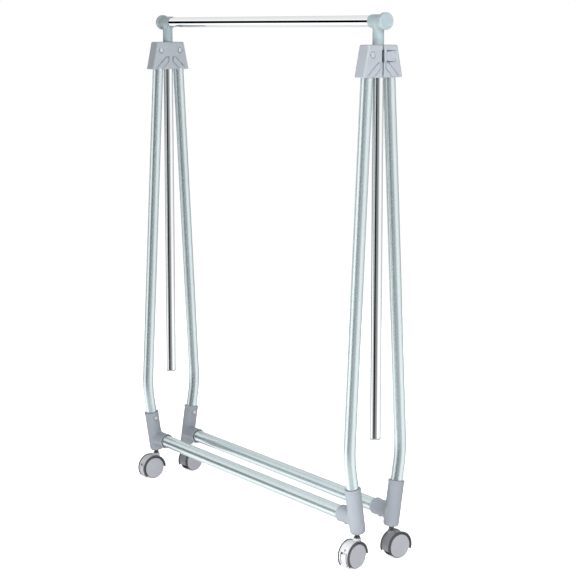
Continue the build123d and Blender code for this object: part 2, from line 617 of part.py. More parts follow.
os.makedirs("parts", exist_ok=True)
for name, shape in nodes.items():
    export_step(shape, f"parts/{name}.step")
print(len(nodes), "nodes written")
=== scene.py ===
"""Rolling clothes rack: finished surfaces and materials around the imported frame."""

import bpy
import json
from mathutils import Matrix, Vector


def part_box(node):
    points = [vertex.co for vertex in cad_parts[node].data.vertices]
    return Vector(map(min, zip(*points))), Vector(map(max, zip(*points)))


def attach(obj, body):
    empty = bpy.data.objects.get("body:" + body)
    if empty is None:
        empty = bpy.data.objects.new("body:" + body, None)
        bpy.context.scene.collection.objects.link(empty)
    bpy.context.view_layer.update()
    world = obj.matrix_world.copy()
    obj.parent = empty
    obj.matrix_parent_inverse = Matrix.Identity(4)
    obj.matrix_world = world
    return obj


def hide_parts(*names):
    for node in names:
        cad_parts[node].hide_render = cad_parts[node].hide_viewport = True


bl_info = {
    "name": "Rolling clothes rack",
    "version": (1, 0, 0),
    "blender": (4, 5, 0),
    "location": "3D View > Sidebar > Clothes rack",
    "description": "Builds the visible pieces of a telescopic rolling clothes rack",
    "category": "Add Mesh",
}

import json
import math

import bmesh
import bpy
import numpy as np
from bpy.props import FloatProperty, FloatVectorProperty, IntProperty, PointerProperty
from mathutils import Matrix, Vector

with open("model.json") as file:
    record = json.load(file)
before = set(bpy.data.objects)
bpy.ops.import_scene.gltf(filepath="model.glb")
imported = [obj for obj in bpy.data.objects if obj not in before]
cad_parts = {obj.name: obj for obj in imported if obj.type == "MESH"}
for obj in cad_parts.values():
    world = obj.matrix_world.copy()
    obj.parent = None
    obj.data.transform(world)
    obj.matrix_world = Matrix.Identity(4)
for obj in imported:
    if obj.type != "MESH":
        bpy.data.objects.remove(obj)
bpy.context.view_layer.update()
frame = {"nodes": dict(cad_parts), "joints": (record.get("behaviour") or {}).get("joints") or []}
JOINTS = {joint["name"]: joint for joint in frame["joints"]}
SIDES = {"left": -1, "right": 1}
ENDS = {"front": -1, "back": 1}
CORNERS = [f"{end}_{side}" for side in SIDES for end in ENDS]
MM = 0.001


# ---------------------------------------------------------------- sizes and colours

def length(name, description, value):
    """Length property in metres, from millimetres."""
    return FloatProperty(name=name, description=description, default=value * MM, min=0.0,
                         unit="LENGTH", precision=5)


def colour(name, description, value):
    return FloatVectorProperty(name=name, description=description, default=value, size=3,
                               subtype="COLOR", min=0.0, max=1.0)


class TubeSizes(bpy.types.PropertyGroup):
    """Bent legs and straight tubes."""
    wall: length("Tube wall", "Wall of every tube", 1.0)
    bend_height: length("Bend height", "Where the legs turn inwards", 217.0)
    bend_out: length("Bend out", "Leg axis from the middle plane at the bend", 64.0)
    bend_radius: length("Bend radius", "Radius of the leg's bend", 260.0)
    head_out: length("Leg at head", "Leg axis from the middle plane at the head's underside", 27.0)
    leg_insert: length("Leg in head", "Length of the leg inside the head", 28.0)
    sides: IntProperty(name="Sides", description="Faces round a tube", default=64, min=12)


class HeadSizes(bpy.types.PropertyGroup):
    """Clamp heads with their flip levers."""
    taper: length("Taper", "How much each side leans in over the height", 13.0)
    slit: length("Slit", "Width of the slit in the outer face", 3.2)
    lever_gap: length("Lever gap", "Width of the slit beside the lever", 6.4)
    bush_wall: length("Bush wall", "Wall of the sleeve round the post", 1.5)
    bush_inset: length("Bush inset", "Sleeve's ends inside the head", 6.0)
    bolt_drop: length("Bolt drop", "Bolts below the head's top", 19.0)
    bolt_out: length("Bolt out", "Bolts from the middle plane", 24.6)
    bolt_head: length("Bolt head", "Radius of the bolt heads", 5.2)
    counterbore: length("Counterbore", "Depth of the bolt heads' seats", 2.0)
    seat_room: length("Seat room", "Room round the bolt heads", 1.5)
    rib: length("Rib height", "Height of the slanting ribs", 0.8)
    detail: length("Detail", "Grid step of the moulded surface", 0.7)


class FootSizes(bpy.types.PropertyGroup):
    """Foot connectors."""
    clearance: length("Underside", "Underside above the caster's boss", 7.0)
    pivot_rise: length("Axis crossing", "Where the leg's axis crosses the stem's, above the underside", 16.0)
    socket: length("Socket length", "Length of the leg socket", 95.0)
    wall: length("Socket wall", "Wall round the leg", 3.6)
    seat: length("Leg seat", "Leg's end above the underside", 38.0)
    barrel_wall: length("Barrel wall", "Wall round the bottom rail", 2.6)
    barrel_reach: length("Barrel reach", "Barrel's mouth from the leg's axis", 50.0)
    screw_drop: length("Screw drop", "Screw below the socket's mouth", 14.0)
    mouth_gap: length("Mouth gap", "Step round a tube at a connector's mouth", 0.8)
    screw_head: length("Screw head", "Radius of the screw heads", 4.5)
    detail: length("Detail", "Grid step of the moulded surface", 0.9)


class CasterSizes(bpy.types.PropertyGroup):
    """Twin-wheel casters and brake pedals."""
    web: length("Web", "Half thickness of the hood's web", 5.0)
    fender_gap: length("Fender gap", "Between tread and fender", 0.9)
    fender_wall: length("Fender wall", "Thickness of the fender", 2.1)
    boss: length("Boss", "Radius of the stem's boss", 8.0)
    stem: length("Stem", "Radius of the stem", 5.0)
    disc_inset: length("Disc inset", "Hub disc's edge inside the tread", 1.3)
    # Black strip over the fender's edge: partly a real black edge, partly painted shadow of the gap between
    # fender and disc
    trim: length("Trim", "Width of the black edge trim", 2.4)
    detail: length("Detail", "Grid step of the moulded surface", 0.7)


class Finishes(bpy.types.PropertyGroup):
    """Base colours, scene linear."""
    paint: colour("Tube paint", "Satin metallic paint of legs and bottom rails", (0.62, 0.71, 0.73))
    fitting: colour("Tee fittings", "Blue-grey fittings of the hanging rail", (0.255, 0.315, 0.335))
    moulding: colour("Mouldings", "Grey clamp heads and levers", (0.275, 0.298, 0.33))
    foot: colour("Foot connectors", "Slightly darker grey of the foot connectors", (0.225, 0.246, 0.278))
    hood: colour("Front hoods", "Pale hoods and pedals of the braked casters", (0.44, 0.45, 0.47))
    # Painted shade: a darker copy of the hood grey that stands in for the shade falling on the back casters
    back_hood: colour("Back hoods", "Darker hoods of the plain casters", (0.15, 0.155, 0.165))
    disc: colour("Hub discs", "Grey discs over the wheels", (0.29, 0.30, 0.325))
    tread: colour("Treads", "Black wheels and trims", (0.012, 0.012, 0.014))
    chrome: colour("Chrome", "Plated rail and posts", (0.88, 0.89, 0.90))
    zinc: colour("Zinc", "Screws and bolts", (0.85, 0.86, 0.88))
    steel: colour("Dark steel", "Stems, pins and axles", (0.10, 0.105, 0.115))
    nylon: colour("Nylon", "Bushes, plugs and sockets", (0.62, 0.62, 0.60))


# ---------------------------------------------------------------- materials

class Wire:
    """A node's output. Arithmetic on it adds Math nodes and gives another one."""

    def __init__(self, bench, socket):
        self.bench, self.socket = bench, socket

    def _maths(self, operation, first, second):
        return self.bench.maths(operation, first, second)

    def __add__(self, other):
        return self._maths("ADD", self, other)

    __radd__ = __add__

    def __sub__(self, other):
        return self._maths("SUBTRACT", self, other)

    def __rsub__(self, other):
        return self._maths("SUBTRACT", other, self)

    def __mul__(self, other):
        return self._maths("MULTIPLY", self, other)

    __rmul__ = __mul__


class Bench:
    """Node tree of one material, or of a world."""

    def __init__(self, owner, **fixed):
        self.material = bpy.data.materials.new(owner) if isinstance(owner, str) else owner
        self.material.use_nodes = True
        self.tree = self.material.node_tree
        self.shader = self.tree.nodes.get("Principled BSDF") or self.tree.nodes["Background"]
        for key, value in fixed.items():
            self.shader.inputs[key.replace("_", " ")].default_value = value
        self.place = self.node("ShaderNodeTexCoord", output="Object")

    def maths(self, operation, *values):
        return self.node("ShaderNodeMath", {"operation": operation}, dict(enumerate(values)))

    def ramp(self, factor, stops):
        """Value read off a line through (position, height) stops."""
        made = self.node("ShaderNodeValToRGB", None, {0: factor})
        line = made.socket.node.color_ramp
        line.elements[0].position, line.elements[1].position = stops[0][0], stops[-1][0]
        for place, _ in stops[1:-1]:
            line.elements.new(place)
        for element, (_, height) in zip(line.elements, stops):
            element.color = (height, height, height, 1.0)
        return made

    def node(self, kind, settings=None, values=None, output=0):
        """Adds a node, applies its settings, then fills its inputs with values or wires."""
        made = self.tree.nodes.new(kind)
        for key, value in (settings or {}).items():
            setattr(made, key, value)
        for key, value in (values or {}).items():
            if isinstance(value, Wire):
                self.tree.links.new(value.socket, made.inputs[key])
            else:
                made.inputs[key].default_value = value
        return Wire(self, made.outputs[output])

    def feed(self, name, wire):
        self.tree.links.new(wire.socket, self.shader.inputs[name])

    def noise(self, scale, detail=2.0, stretch=(1, 1, 1)):
        """Noise from 0 to 1 on object coordinates, with its grain stretched."""
        spot = self.node("ShaderNodeMapping", None, {"Vector": self.place, "Scale": stretch})
        return self.node("ShaderNodeTexNoise", None,
                         {"Vector": spot, "Scale": scale, "Detail": detail}, output="Fac")

    def between(self, factor, first, second):
        """Colour mixed from two by a factor."""
        mixed = self.node("ShaderNodeMix", {"data_type": "RGBA"},
                          {0: factor, 6: (*first, 1.0), 7: (*second, 1.0)}, output=2)
        return mixed

    def bumps(self, height, strength, distance):
        return self.node("ShaderNodeBump", None,
                         {"Height": height, "Strength": strength, "Distance": distance})


def shade(base, factor):
    """Colour made lighter or darker."""
    return tuple(min(1.0, channel * factor) for channel in base)


def finish_material(kind):
    """Material by name, made once."""
    if kind in bpy.data.materials:
        return bpy.data.materials[kind]
    return MATERIALS[kind](kind, bpy.context.scene.rack_finishes)


def paint_material(name, tones):
    """Satin metallic paint: slow colour drift, a faint orange peel and a thin clear coat."""
    bench = Bench(name, Metallic=0.85, Coat_Roughness=0.18)
    drift = bench.noise(9.0, 3.0)
    bench.feed("Base Color", bench.between(drift, shade(tones.paint, 0.90), shade(tones.paint, 1.0)))
    bench.feed("Roughness", 0.23 + 0.03 * drift)
    bench.feed("Coat Weight", 0.25 + 0.15 * bench.noise(30.0))
    bench.feed("Normal", bench.bumps(bench.noise(160.0, 0.0), 0.04, 0.0003))
    return bench.material


def chrome_material(name, tones):
    """Bright chrome plate with a faint fine bump and a few dull patches."""
    bench = Bench(name, Metallic=1.0)
    lines = bench.noise(260.0, 2.0)
    haze = bench.noise(12.0, 4.0)
    bench.feed("Base Color", bench.between(haze, shade(tones.chrome, 0.98), shade(tones.chrome, 1.02)))
    bench.feed("Roughness", 0.02 + 0.03 * haze)
    bench.feed("Normal", bench.bumps(lines, 0.03, 0.0001))
    return bench.material


def moulded_material(name, tones, base="moulding", roughness=0.42, grain=900.0, mirror=0.5):
    """Injection-moulded plastic: spark-eroded grain, soft sheen and slightly pale edges."""
    bench = Bench(name, IOR=1.5, Specular_IOR_Level=mirror)
    main = getattr(tones, base)
    texture = bench.noise(grain, 2.0)
    cloud = bench.noise(22.0, 3.0)
    edge = bench.node("ShaderNodeNewGeometry", output="Pointiness")
    worn = bench.node("ShaderNodeMapRange", None, {0: edge, 1: 0.52, 2: 0.60, 3: 0.0, 4: 0.35})
    flat = bench.between(cloud, shade(main, 0.95), shade(main, 1.05))
    mixed = bench.node("ShaderNodeMix", {"data_type": "RGBA"},
                       {0: worn, 6: flat, 7: (*shade(main, 1.35), 1.0)}, output=2)
    bench.feed("Base Color", mixed)
    bench.feed("Roughness", roughness - 0.05 + 0.12 * texture)
    bench.feed("Normal", bench.bumps(texture, 0.16, 0.0003))
    return bench.material


def tread_material(name, tones):
    """Black moulded wheel, dusty where it rolls."""
    bench = Bench(name)
    dust = bench.noise(120.0, 5.0)
    bench.feed("Base Color", bench.between(dust, tones.tread, shade(tones.tread, 2.5)))
    bench.feed("Roughness", 0.38 + 0.25 * dust)
    bench.feed("Normal", bench.bumps(bench.noise(700.0), 0.2, 0.0003))
    return bench.material


def metal_material(name, tones, base="zinc", roughness=0.28):
    """Plated steel with turning marks and small stains."""
    bench = Bench(name, Metallic=1.0)
    stain = bench.noise(90.0, 4.0)
    main = getattr(tones, base)
    bench.feed("Base Color", bench.between(stain, shade(main, 0.85), shade(main, 1.1)))
    bench.feed("Roughness", roughness - 0.06 + 0.2 * stain)
    bench.feed("Normal", bench.bumps(bench.noise(1500.0), 0.1, 0.0001))
    return bench.material


MATERIALS = {
    "tube_paint": paint_material,
    "chrome_plate": chrome_material,
    "grey_moulding": moulded_material,
    "foot_moulding": lambda name, tones: moulded_material(name, tones, "foot"),
    "blue_grey_fitting": lambda name, tones: moulded_material(name, tones, "fitting", 0.36, 1200.0),
    "hood_moulding": lambda name, tones: moulded_material(name, tones, "hood", 0.36, 1100.0),
    # Painted shade: the back hoods' darker copy of the hood moulding
    "dark_hood_moulding": lambda name, tones: moulded_material(name, tones, "back_hood", 0.36, 1100.0),
    "disc_moulding": lambda name, tones: moulded_material(name, tones, "disc", 0.5, 600.0),
    "black_wheel": tread_material,
    "zinc_plate": metal_material,
    "dark_steel": lambda name, tones: metal_material(name, tones, "steel", 0.34),
    "nylon": lambda name, tones: moulded_material(name, tones, "nylon", 0.45, 500.0),
    "black_nylon": lambda name, tones: moulded_material(name, tones, "tread", 0.6, 500.0, 0.0),
}


def turns(*stops):
    """Stops whose positions are degrees from -180 to 180, as shares of a full turn."""
    return [(degrees / 360 + 0.5, height) for degrees, height in stops]


def heights(*stops):
    """Stops whose positions are elevations in degrees, as shares of the sine's range."""
    return [(math.sin(math.radians(degrees)) / 2 + 0.5, height) for degrees, height in stops]


# The studio's walls, dark strip and ceiling as the metal mirrors them
WALLS = turns((-180, 0.60), (-140, 0.95), (-118, 1.15), (-60, 1.25), (-51, 0.95), (-47, 0.01), (-17, 0.01),
              (-12, 0.22), (20, 0.28), (34, 0.85), (55, 1.10), (92, 1.0), (118, 0.50), (150, 0.36),
              (180, 0.60))
LOW_WALLS = heights((-90, 0.35), (-46, 0.40), (-34, 1.25), (-14, 1.20), (-7, 1.0), (90, 1.0))
FLOOR_GLOW = heights((-90, 0.6), (-21, 0.6), (-14, 0.0), (90, 0.0))
STRIP = turns((-180, 0.0), (-122, 0.0), (-119, 1.0), (-101, 1.0), (-98, 0.0), (180, 0.0))
STRIP_HEIGHT = heights((-90, 0.0), (-17, 0.0), (-13, 1.0), (11, 1.0), (15, 0.0), (90, 0.0))
CEILING = heights((-90, 0.0), (16, 0.0), (34, 1.0), (90, 1.0))
CEILING_LIGHT = 0.88
ROOM_LIGHT = 0.36
FLOOR_LIGHT, FLOOR_REACH = 0.70, 30.0

# Lamps: name, place, the point each faces, its width and height, and its watts
LAMPS = (
    ("key", (0.46, -0.80, 0.34), (0.40, 0, 0.22), (0.40, 0.9), 8.5),
    ("side_fill", (1.5, -0.5, 1.3), (0.35, 0, 0.8), (1.0, 1.0), 23.0),
    ("top", (0.0, 0.2, 3.0), (0, 0, 0.5), (1.6, 1.6), 12.0),
    ("back_fill", (-1.3, 1.9, 1.3), (0, 0, 0.6), (1.2, 1.2), 26.0),
)

# Camera: degrees turned from the -Y side and looking down, focal length, shift and place
CAMERA_TURN, CAMERA_DOWN = 54.95, 8.02
CAMERA_LENS, CAMERA_SHIFT = 99.97, -0.06
CAMERA_PLACE = (2.7903, -1.8939, 1.0471)


# ---------------------------------------------------------------- surfaces from profiles

def rounded(points, radii, steps=6, support=0.15 * MM):
    """Outline in two columns whose corners are arcs; each arc has a support point just outside it."""
    points = np.asarray(points, float)
    rows = []
    for index, (corner, radius) in enumerate(zip(points, radii)):
        if radius <= 0:
            rows.append(corner[None])
            continue
        before, after = points[index - 1] - corner, points[(index + 1) % len(points)] - corner
        before, after = before / np.linalg.norm(before), after / np.linalg.norm(after)
        half = math.acos(np.clip(before @ after, -1, 1)) / 2
        back = radius / math.tan(half)
        centre = corner + (before + after) / np.linalg.norm(before + after) * radius / math.sin(half)
        first, last = corner + before * back - centre, corner + after * back - centre
        whole = math.pi - 2 * half
        turn = np.linspace(0, 1, steps + 1)[:, None] * whole
        arc = (np.sin(whole - turn) * first + np.sin(turn) * last) / math.sin(whole)
        sides = [corner + before * (back + support), corner + after * (back + support)]
        rows.append(np.vstack([sides[0], centre + arc, sides[1]]) if support else centre + arc)
    return np.vstack(rows)


def axes_of(direction):
    """Two unit vectors square to a direction and to each other, and the direction itself."""
    along = np.asarray(direction, float) / np.linalg.norm(direction)
    guide = np.array([0.0, 0.0, 1.0]) if abs(along[2]) < 0.9 else np.array([1.0, 0.0, 0.0])
    across = np.cross(guide, along)
    across /= np.linalg.norm(across)
    return across, np.cross(along, across), along


def turned(outline, start, direction, sides=64):
    """Outline of (distance along the axis, radius) carried round the axis: one row for each outline point."""
    across, up, along = axes_of(direction)
    angle = np.linspace(0, 2 * math.pi, sides, endpoint=False)
    ring = np.cos(angle)[:, None] * across + np.sin(angle)[:, None] * up
    outline = np.asarray(outline, float)
    return (np.asarray(start, float) + outline[:, 0, None, None] * along
            + outline[:, 1, None, None] * ring[None])


def tube_outline(length_of, radius, wall, lip=0.2 * MM):
    """Closed outline of a tube's wall, with its four edges broken."""
    corners = [(0, radius - wall), (0, radius), (length_of, radius), (length_of, radius - wall)]
    return rounded(corners, [lip] * 4, steps=2, support=0.3 * MM)


def grid_faces(rows, columns, wrap_rows):
    """Quads of a grid whose columns close on themselves, and whose rows do if asked."""
    row = np.arange(rows if wrap_rows else rows - 1)[:, None]
    column = np.arange(columns)[None]
    after, beside = (row + 1) % rows, (column + 1) % columns
    quads = np.stack([row * columns + column, row * columns + beside,
                      after * columns + beside, after * columns + column], -1)
    return quads.reshape(-1, 4)


def mesh_piece(name, shells, outwards=True):
    """One object from shells of (vertices, quads), with doubles merged and normals outwards."""
    vertices, faces, count = [], [], 0
    for points, quads in shells:
        vertices.append(points.reshape(-1, 3))
        faces.append(quads + count)
        count += len(vertices[-1])
    mesh = bpy.data.meshes.new(name)
    mesh.from_pydata(np.vstack(vertices), [], np.vstack(faces).tolist())
    if outwards:
        work = bmesh.new()
        work.from_mesh(mesh)
        bmesh.ops.remove_doubles(work, verts=work.verts, dist=1e-7)
        bmesh.ops.recalc_face_normals(work, faces=work.faces)
        work.to_mesh(mesh)
        work.free()
    mesh.polygons.foreach_set("use_smooth", np.ones(len(mesh.polygons), bool))
    made = bpy.data.objects.new(name, mesh)
    bpy.context.scene.collection.objects.link(made)
    return made


def shell(grid, wrap_rows=False):
    return grid, grid_faces(grid.shape[0], grid.shape[1], wrap_rows)


def fit_piece(piece, material, body, *nodes):
    """Gives a piece its finish, its body and the nodes that it stands for."""
    piece.data.materials.append(finish_material(material))
    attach(piece, body)
    if nodes:
        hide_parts(*nodes)
    return piece


# ---------------------------------------------------------------- moulded surfaces from distances

def soft_min(first, second, round_off):
    """Smaller of two distances, blended where they are within round_off of each other."""
    near = np.maximum(round_off - np.abs(first - second), 0) / round_off
    return np.minimum(first, second) - near * near * round_off / 4


def soft_max(first, second, round_off):
    return -soft_min(-first, -second, round_off)


def cut(body, tool, round_off=1.0 * MM):
    """Body with a tool's shape taken out, its new edges rounded."""
    return soft_max(body, -tool, round_off)


def bar(place, start, end, radius, round_off=0.6 * MM):
    """Distance to a round bar between two points: from its axis less the radius, and past its ends."""
    start, end = np.asarray(start, float), np.asarray(end, float)
    span = np.linalg.norm(end - start)
    along = (place - start) @ ((end - start) / span)
    off = place - start - along[..., None] * ((end - start) / span)
    return soft_max(np.linalg.norm(off, axis=-1) - radius, np.abs(along - span / 2) - span / 2, round_off)


def brick(place, low, high, round_off=0.6 * MM):
    """Distance to a box between two corners: the largest of the distances past its three pairs of faces."""
    low, high = np.asarray(low, float), np.asarray(high, float)
    past = np.abs(place - (low + high) / 2) - (high - low) / 2
    return soft_max(soft_max(past[..., 0], past[..., 1], round_off), past[..., 2], round_off)


def moulded(field, low, high, step):
    """Vertices and quads where a distance field is zero.

    Each grid cell that the surface crosses gets a vertex at the mean of its edge crossings, each crossed
    edge a quad through its four cells, and the vertices then slide down the gradient on to the surface.
    """
    axes = [np.arange(a - 2 * step, b + 3 * step, step) for a, b in zip(low, high)]
    grid = np.stack(np.meshgrid(*axes, indexing="ij"), -1)
    value = field(grid)
    inside = value < 0
    size = np.array(value.shape) - 1
    corners = np.array([[i, j, k] for i in (0, 1) for j in (0, 1) for k in (0, 1)])
    count = sum(inside[i:i + size[0], j:j + size[1], k:k + size[2]].astype(int) for i, j, k in corners)
    cells = np.argwhere((count > 0) & (count < 8))
    label = np.full(size, -1)
    label[tuple(cells.T)] = np.arange(len(cells))
    total, hits = np.zeros((len(cells), 3)), np.zeros(len(cells))
    for first in range(8):
        for second in range(first + 1, 8):
            if np.abs(corners[first] - corners[second]).sum() != 1:
                continue
            here, there = cells + corners[first], cells + corners[second]
            a, b = value[tuple(here.T)], value[tuple(there.T)]
            crossed = (a < 0) != (b < 0)
            share = np.where(crossed, a / np.where(crossed, a - b, 1), 0)[:, None]
            total += np.where(crossed[:, None], here + share * (there - here), 0)
            hits += crossed
    points = total / hits[:, None] * step + np.array([axis[0] for axis in axes])
    quads = []
    for axis in range(3):
        other, third = (axis + 1) % 3, (axis + 2) % 3
        ahead = np.take(inside, range(1, inside.shape[axis]), axis)
        behind = np.take(inside, range(inside.shape[axis] - 1), axis)
        for flips, order in ((behind & ~ahead, 1), (ahead & ~behind, -1)):
            spots = np.argwhere(flips)
            spots = spots[(spots[:, other] > 0) & (spots[:, third] > 0)]
            ring = []
            for back_other, back_third in ((0, 0), (1, 0), (1, 1), (0, 1)):
                cell = spots.copy()
                cell[:, other] -= back_other
                cell[:, third] -= back_third
                ring.append(label[tuple(cell.T)])
            quads.append(np.stack(ring[::order], -1))
    nudge = 0.05 * step
    for _ in range(5):
        here = field(points)
        slope = np.stack([field(points + nudge * np.eye(3)[k]) - field(points - nudge * np.eye(3)[k])
                          for k in range(3)], -1) / (2 * nudge)
        move = here[:, None] * slope / np.maximum((slope**2).sum(-1, keepdims=True), 0.2)
        points = points - np.clip(move, -0.3 * step, 0.3 * step)
    return points, np.vstack(quads)


def moved(part, matrix):
    """Vertices of a part carried by a 4x4 matrix, with the same faces."""
    points, quads = part
    matrix = np.array(matrix)
    return points.reshape(-1, 3) @ matrix[:3, :3].T + matrix[:3, 3], quads


# ---------------------------------------------------------------- places from the frame

def post_axis(side_name):
    low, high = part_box(f"post_{side_name}")
    return (low.x + high.x) / 2


def side_matrix(side_name):
    """From a place beside the right-hand post, outer face towards +X, to either post's."""
    turn = 0 if side_name == "right" else math.pi
    return Matrix.Translation((post_axis(side_name), 0, 0)) @ Matrix.Rotation(turn, 4, "Z")


def caster_matrix(corner):
    """From a caster standing at the origin and trailing towards -Y to its place under the rack."""
    x, y, _ = JOINTS[f"swivel_{corner}"]["pos_m"]
    axis = JOINTS[f"roll_{corner}"]["axis"]
    return Matrix.Translation((x, y, 0)) @ Matrix.Rotation(math.atan2(axis[1], axis[0]), 4, "Z")


def caster_layout():
    """Trail, wheel radius and the widths of a caster's layers, in its own place."""
    corner = "back_right"
    x, y, _ = JOINTS[f"swivel_{corner}"]["pos_m"]
    roll_x, roll_y, radius = JOINTS[f"roll_{corner}"]["pos_m"]
    wheel_low, wheel_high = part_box(f"caster_wheel_outer_{corner}")
    hood_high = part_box(f"caster_hood_{corner}")[1]
    return {
        "trail": math.hypot(roll_x - x, roll_y - y), "radius": radius,
        "wheel_in": wheel_low.x - x, "wheel_out": wheel_high.x - x,
        "disc_out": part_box(f"caster_hub_discs_{corner}")[1].x - x,
        "half": hood_high.x - x, "top": hood_high.z,
    }


def leg_places():
    """Leg radius, foot underside, and the slopes of the leg above and below its bend."""
    sizes, foot = bpy.context.scene.rack_tubes, bpy.context.scene.rack_feet
    low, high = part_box("leg_front_left")
    head_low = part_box("clamp_head_left")[0].z
    stem_y = abs(JOINTS["swivel_front_left"]["pos_m"][1])
    underside = JOINTS["swivel_front_left"]["pos_m"][2] + foot.clearance
    crossing = underside + foot.pivot_rise
    return {
        "radius": (high.x - low.x) / 2, "underside": underside, "stem_y": stem_y, "head_low": head_low,
        "spread": (sizes.bend_out - sizes.head_out) / (head_low - sizes.bend_height),
        "tuck": (sizes.bend_out - stem_y) / (sizes.bend_height - crossing), "crossing": crossing,
    }


def foot_point(along, end):
    """Point on the lower leg's axis, measured up from the connector's underside."""
    leg = leg_places()
    z = leg["underside"] + along / math.hypot(1, leg["tuck"])
    return np.array([0, end * (leg["stem_y"] + leg["tuck"] * (z - leg["crossing"])), z])


def upper_point(z, end):
    """Point on the leg's axis above the bend."""
    sizes, leg = bpy.context.scene.rack_tubes, leg_places()
    return np.array([0, end * (sizes.bend_out - leg["spread"] * (z - sizes.bend_height)), z])


# ---------------------------------------------------------------- operators

class RackOperator:
    bl_options = {"REGISTER", "UNDO"}


class RACK_OT_hanging_rail(RackOperator, bpy.types.Operator):
    """Build the chromed hanging rail"""
    bl_idname = "rack.hanging_rail"
    bl_label = "Hanging rail"

    def execute(self, context):
        sizes = context.scene.rack_tubes
        low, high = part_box("hanging_rail")
        outline = tube_outline(high.x - low.x, (high.z - low.z) / 2, sizes.wall)
        start = (low.x, (low.y + high.y) / 2, (low.z + high.z) / 2)
        tube = shell(turned(outline, start, (1, 0, 0), sizes.sides), True)
        rail = mesh_piece("chromed_hanging_rail", [tube])
        fit_piece(rail, "chrome_plate", "rail_carriage", "hanging_rail")
        return {"FINISHED"}


class RACK_OT_posts(RackOperator, bpy.types.Operator):
    """Build the telescopic posts and the plugs in their lower ends"""
    bl_idname = "rack.posts"
    bl_label = "Posts"

    def execute(self, context):
        sizes = context.scene.rack_tubes
        for side in SIDES:
            low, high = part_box(f"post_{side}")
            radius, x = (high.x - low.x) / 2, post_axis(side)
            outline = tube_outline(high.z - low.z, radius, sizes.wall)
            tube = shell(turned(outline, (x, 0, low.z), (0, 0, 1), sizes.sides), True)
            piece = mesh_piece(f"chromed_post_{side}", [tube])
            fit_piece(piece, "chrome_plate", "rail_carriage", f"post_{side}")
            foot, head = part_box(f"post_plug_{side}")
            rise, bore = low.z - foot.z, radius - sizes.wall - 0.1 * MM
            corners = [(0, 0), (0, radius), (rise, radius), (rise, bore), (head.z - foot.z, bore),
                       (head.z - foot.z, 0)]
            outline = rounded(corners, [0, 1.0 * MM, 0.25 * MM, 0, 0.8 * MM, 0])
            plug = shell(turned(outline, (x, 0, foot.z), (0, 0, 1), sizes.sides))
            fit_piece(mesh_piece(f"post_end_plug_{side}", [plug]), "grey_moulding", "rail_carriage",
                      f"post_plug_{side}")
        return {"FINISHED"}


class RACK_OT_tee_fittings(RackOperator, bpy.types.Operator):
    """Build the tee fittings, whose necks flow into their barrels"""
    bl_idname = "rack.tee_fittings"
    bl_label = "Tee fittings"

    def execute(self, context):
        wall, detail = context.scene.rack_tubes.wall, context.scene.rack_heads.detail
        low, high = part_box("tee_right")
        centre = post_axis("right")
        inner, outer = low.x - centre, high.x - centre
        rail_low, rail_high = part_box("hanging_rail")
        axis_z, rail = (rail_low.z + rail_high.z) / 2, (rail_high.z - rail_low.z) / 2
        barrel, post = high.z - axis_z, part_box("post_right")
        neck, neck_z = (post[1].x - post[0].x) / 2, post[1].z
        web = rail_high.x - centre + 0.1 * MM

        def tee(place):
            sleeve = bar(place, (inner, 0, axis_z), (outer, 0, axis_z), barrel, 2.2 * MM)
            stalk = bar(place, (0, 0, neck_z), (0, 0, axis_z), neck, 0.6 * MM)
            body = soft_min(sleeve, stalk, 6 * MM)
            spigot = bar(place, (0, 0, low.z), (0, 0, axis_z - barrel), neck - wall - 0.1 * MM)
            body = np.minimum(body, spigot)
            cap_bore = bar(place, (outer - 7.6 * MM, 0, axis_z), (outer + 0.02, 0, axis_z), 9.2 * MM)
            body = cut(body, cap_bore, 0.4 * MM)
            rail_bore = bar(place, (inner - 0.02, 0, axis_z), (web, 0, axis_z), rail + 0.15 * MM)
            return cut(body, rail_bore, 1.2 * MM)

        part = moulded(tee, (inner, -barrel, low.z), (outer, barrel, high.z), detail)
        for side in SIDES:
            piece = mesh_piece(f"tee_fitting_{side}", [moved(part, side_matrix(side))], False)
            fit_piece(piece, "blue_grey_fitting", "rail_carriage", f"tee_{side}")
        return {"FINISHED"}


class RACK_OT_end_caps(RackOperator, bpy.types.Operator):
    """Build the round end caps of the hanging rail"""
    bl_idname = "rack.end_caps"
    bl_label = "End caps"

    def execute(self, context):
        sides = context.scene.rack_tubes.sides
        low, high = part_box("end_cap_right")
        radius, axis_z = (high.z - low.z) / 2, (high.z + low.z) / 2
        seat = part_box("tee_right")[1].x - low.x
        width = high.x - low.x
        corners = [(0, 0), (0, 9 * MM), (seat, 9 * MM), (seat, radius), (width, radius),
                   (width, radius - 3.4 * MM), (width - 0.5 * MM, radius - 4.2 * MM), (width - 0.5 * MM, 0)]
        outline = rounded(corners, [0, 0.5 * MM, 0, 0.8 * MM, 2.0 * MM, 0.4 * MM, 0.4 * MM, 0])
        for side, sign in SIDES.items():
            start = (sign * low.x, 0, axis_z)
            cap = shell(turned(outline, start, (sign, 0, 0), sides))
            fit_piece(mesh_piece(f"rail_end_cap_{side}", [cap]), "blue_grey_fitting", "rail_carriage",
                      f"end_cap_{side}")
        return {"FINISHED"}


def lever_places():
    """Flip lever's pin, hub, thickness, length and height in the right-hand head's own place."""
    low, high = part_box("clamp_lever_right")
    x, y, _ = JOINTS["lever_right"]["pos_m"]
    centre = post_axis("right")
    return {"x": x - centre, "y": y, "hub": y - low.y, "out": high.x - centre, "end": high.y,
            "low": low.z, "high": high.z, "inner": high.x - centre - 3.2 * MM}


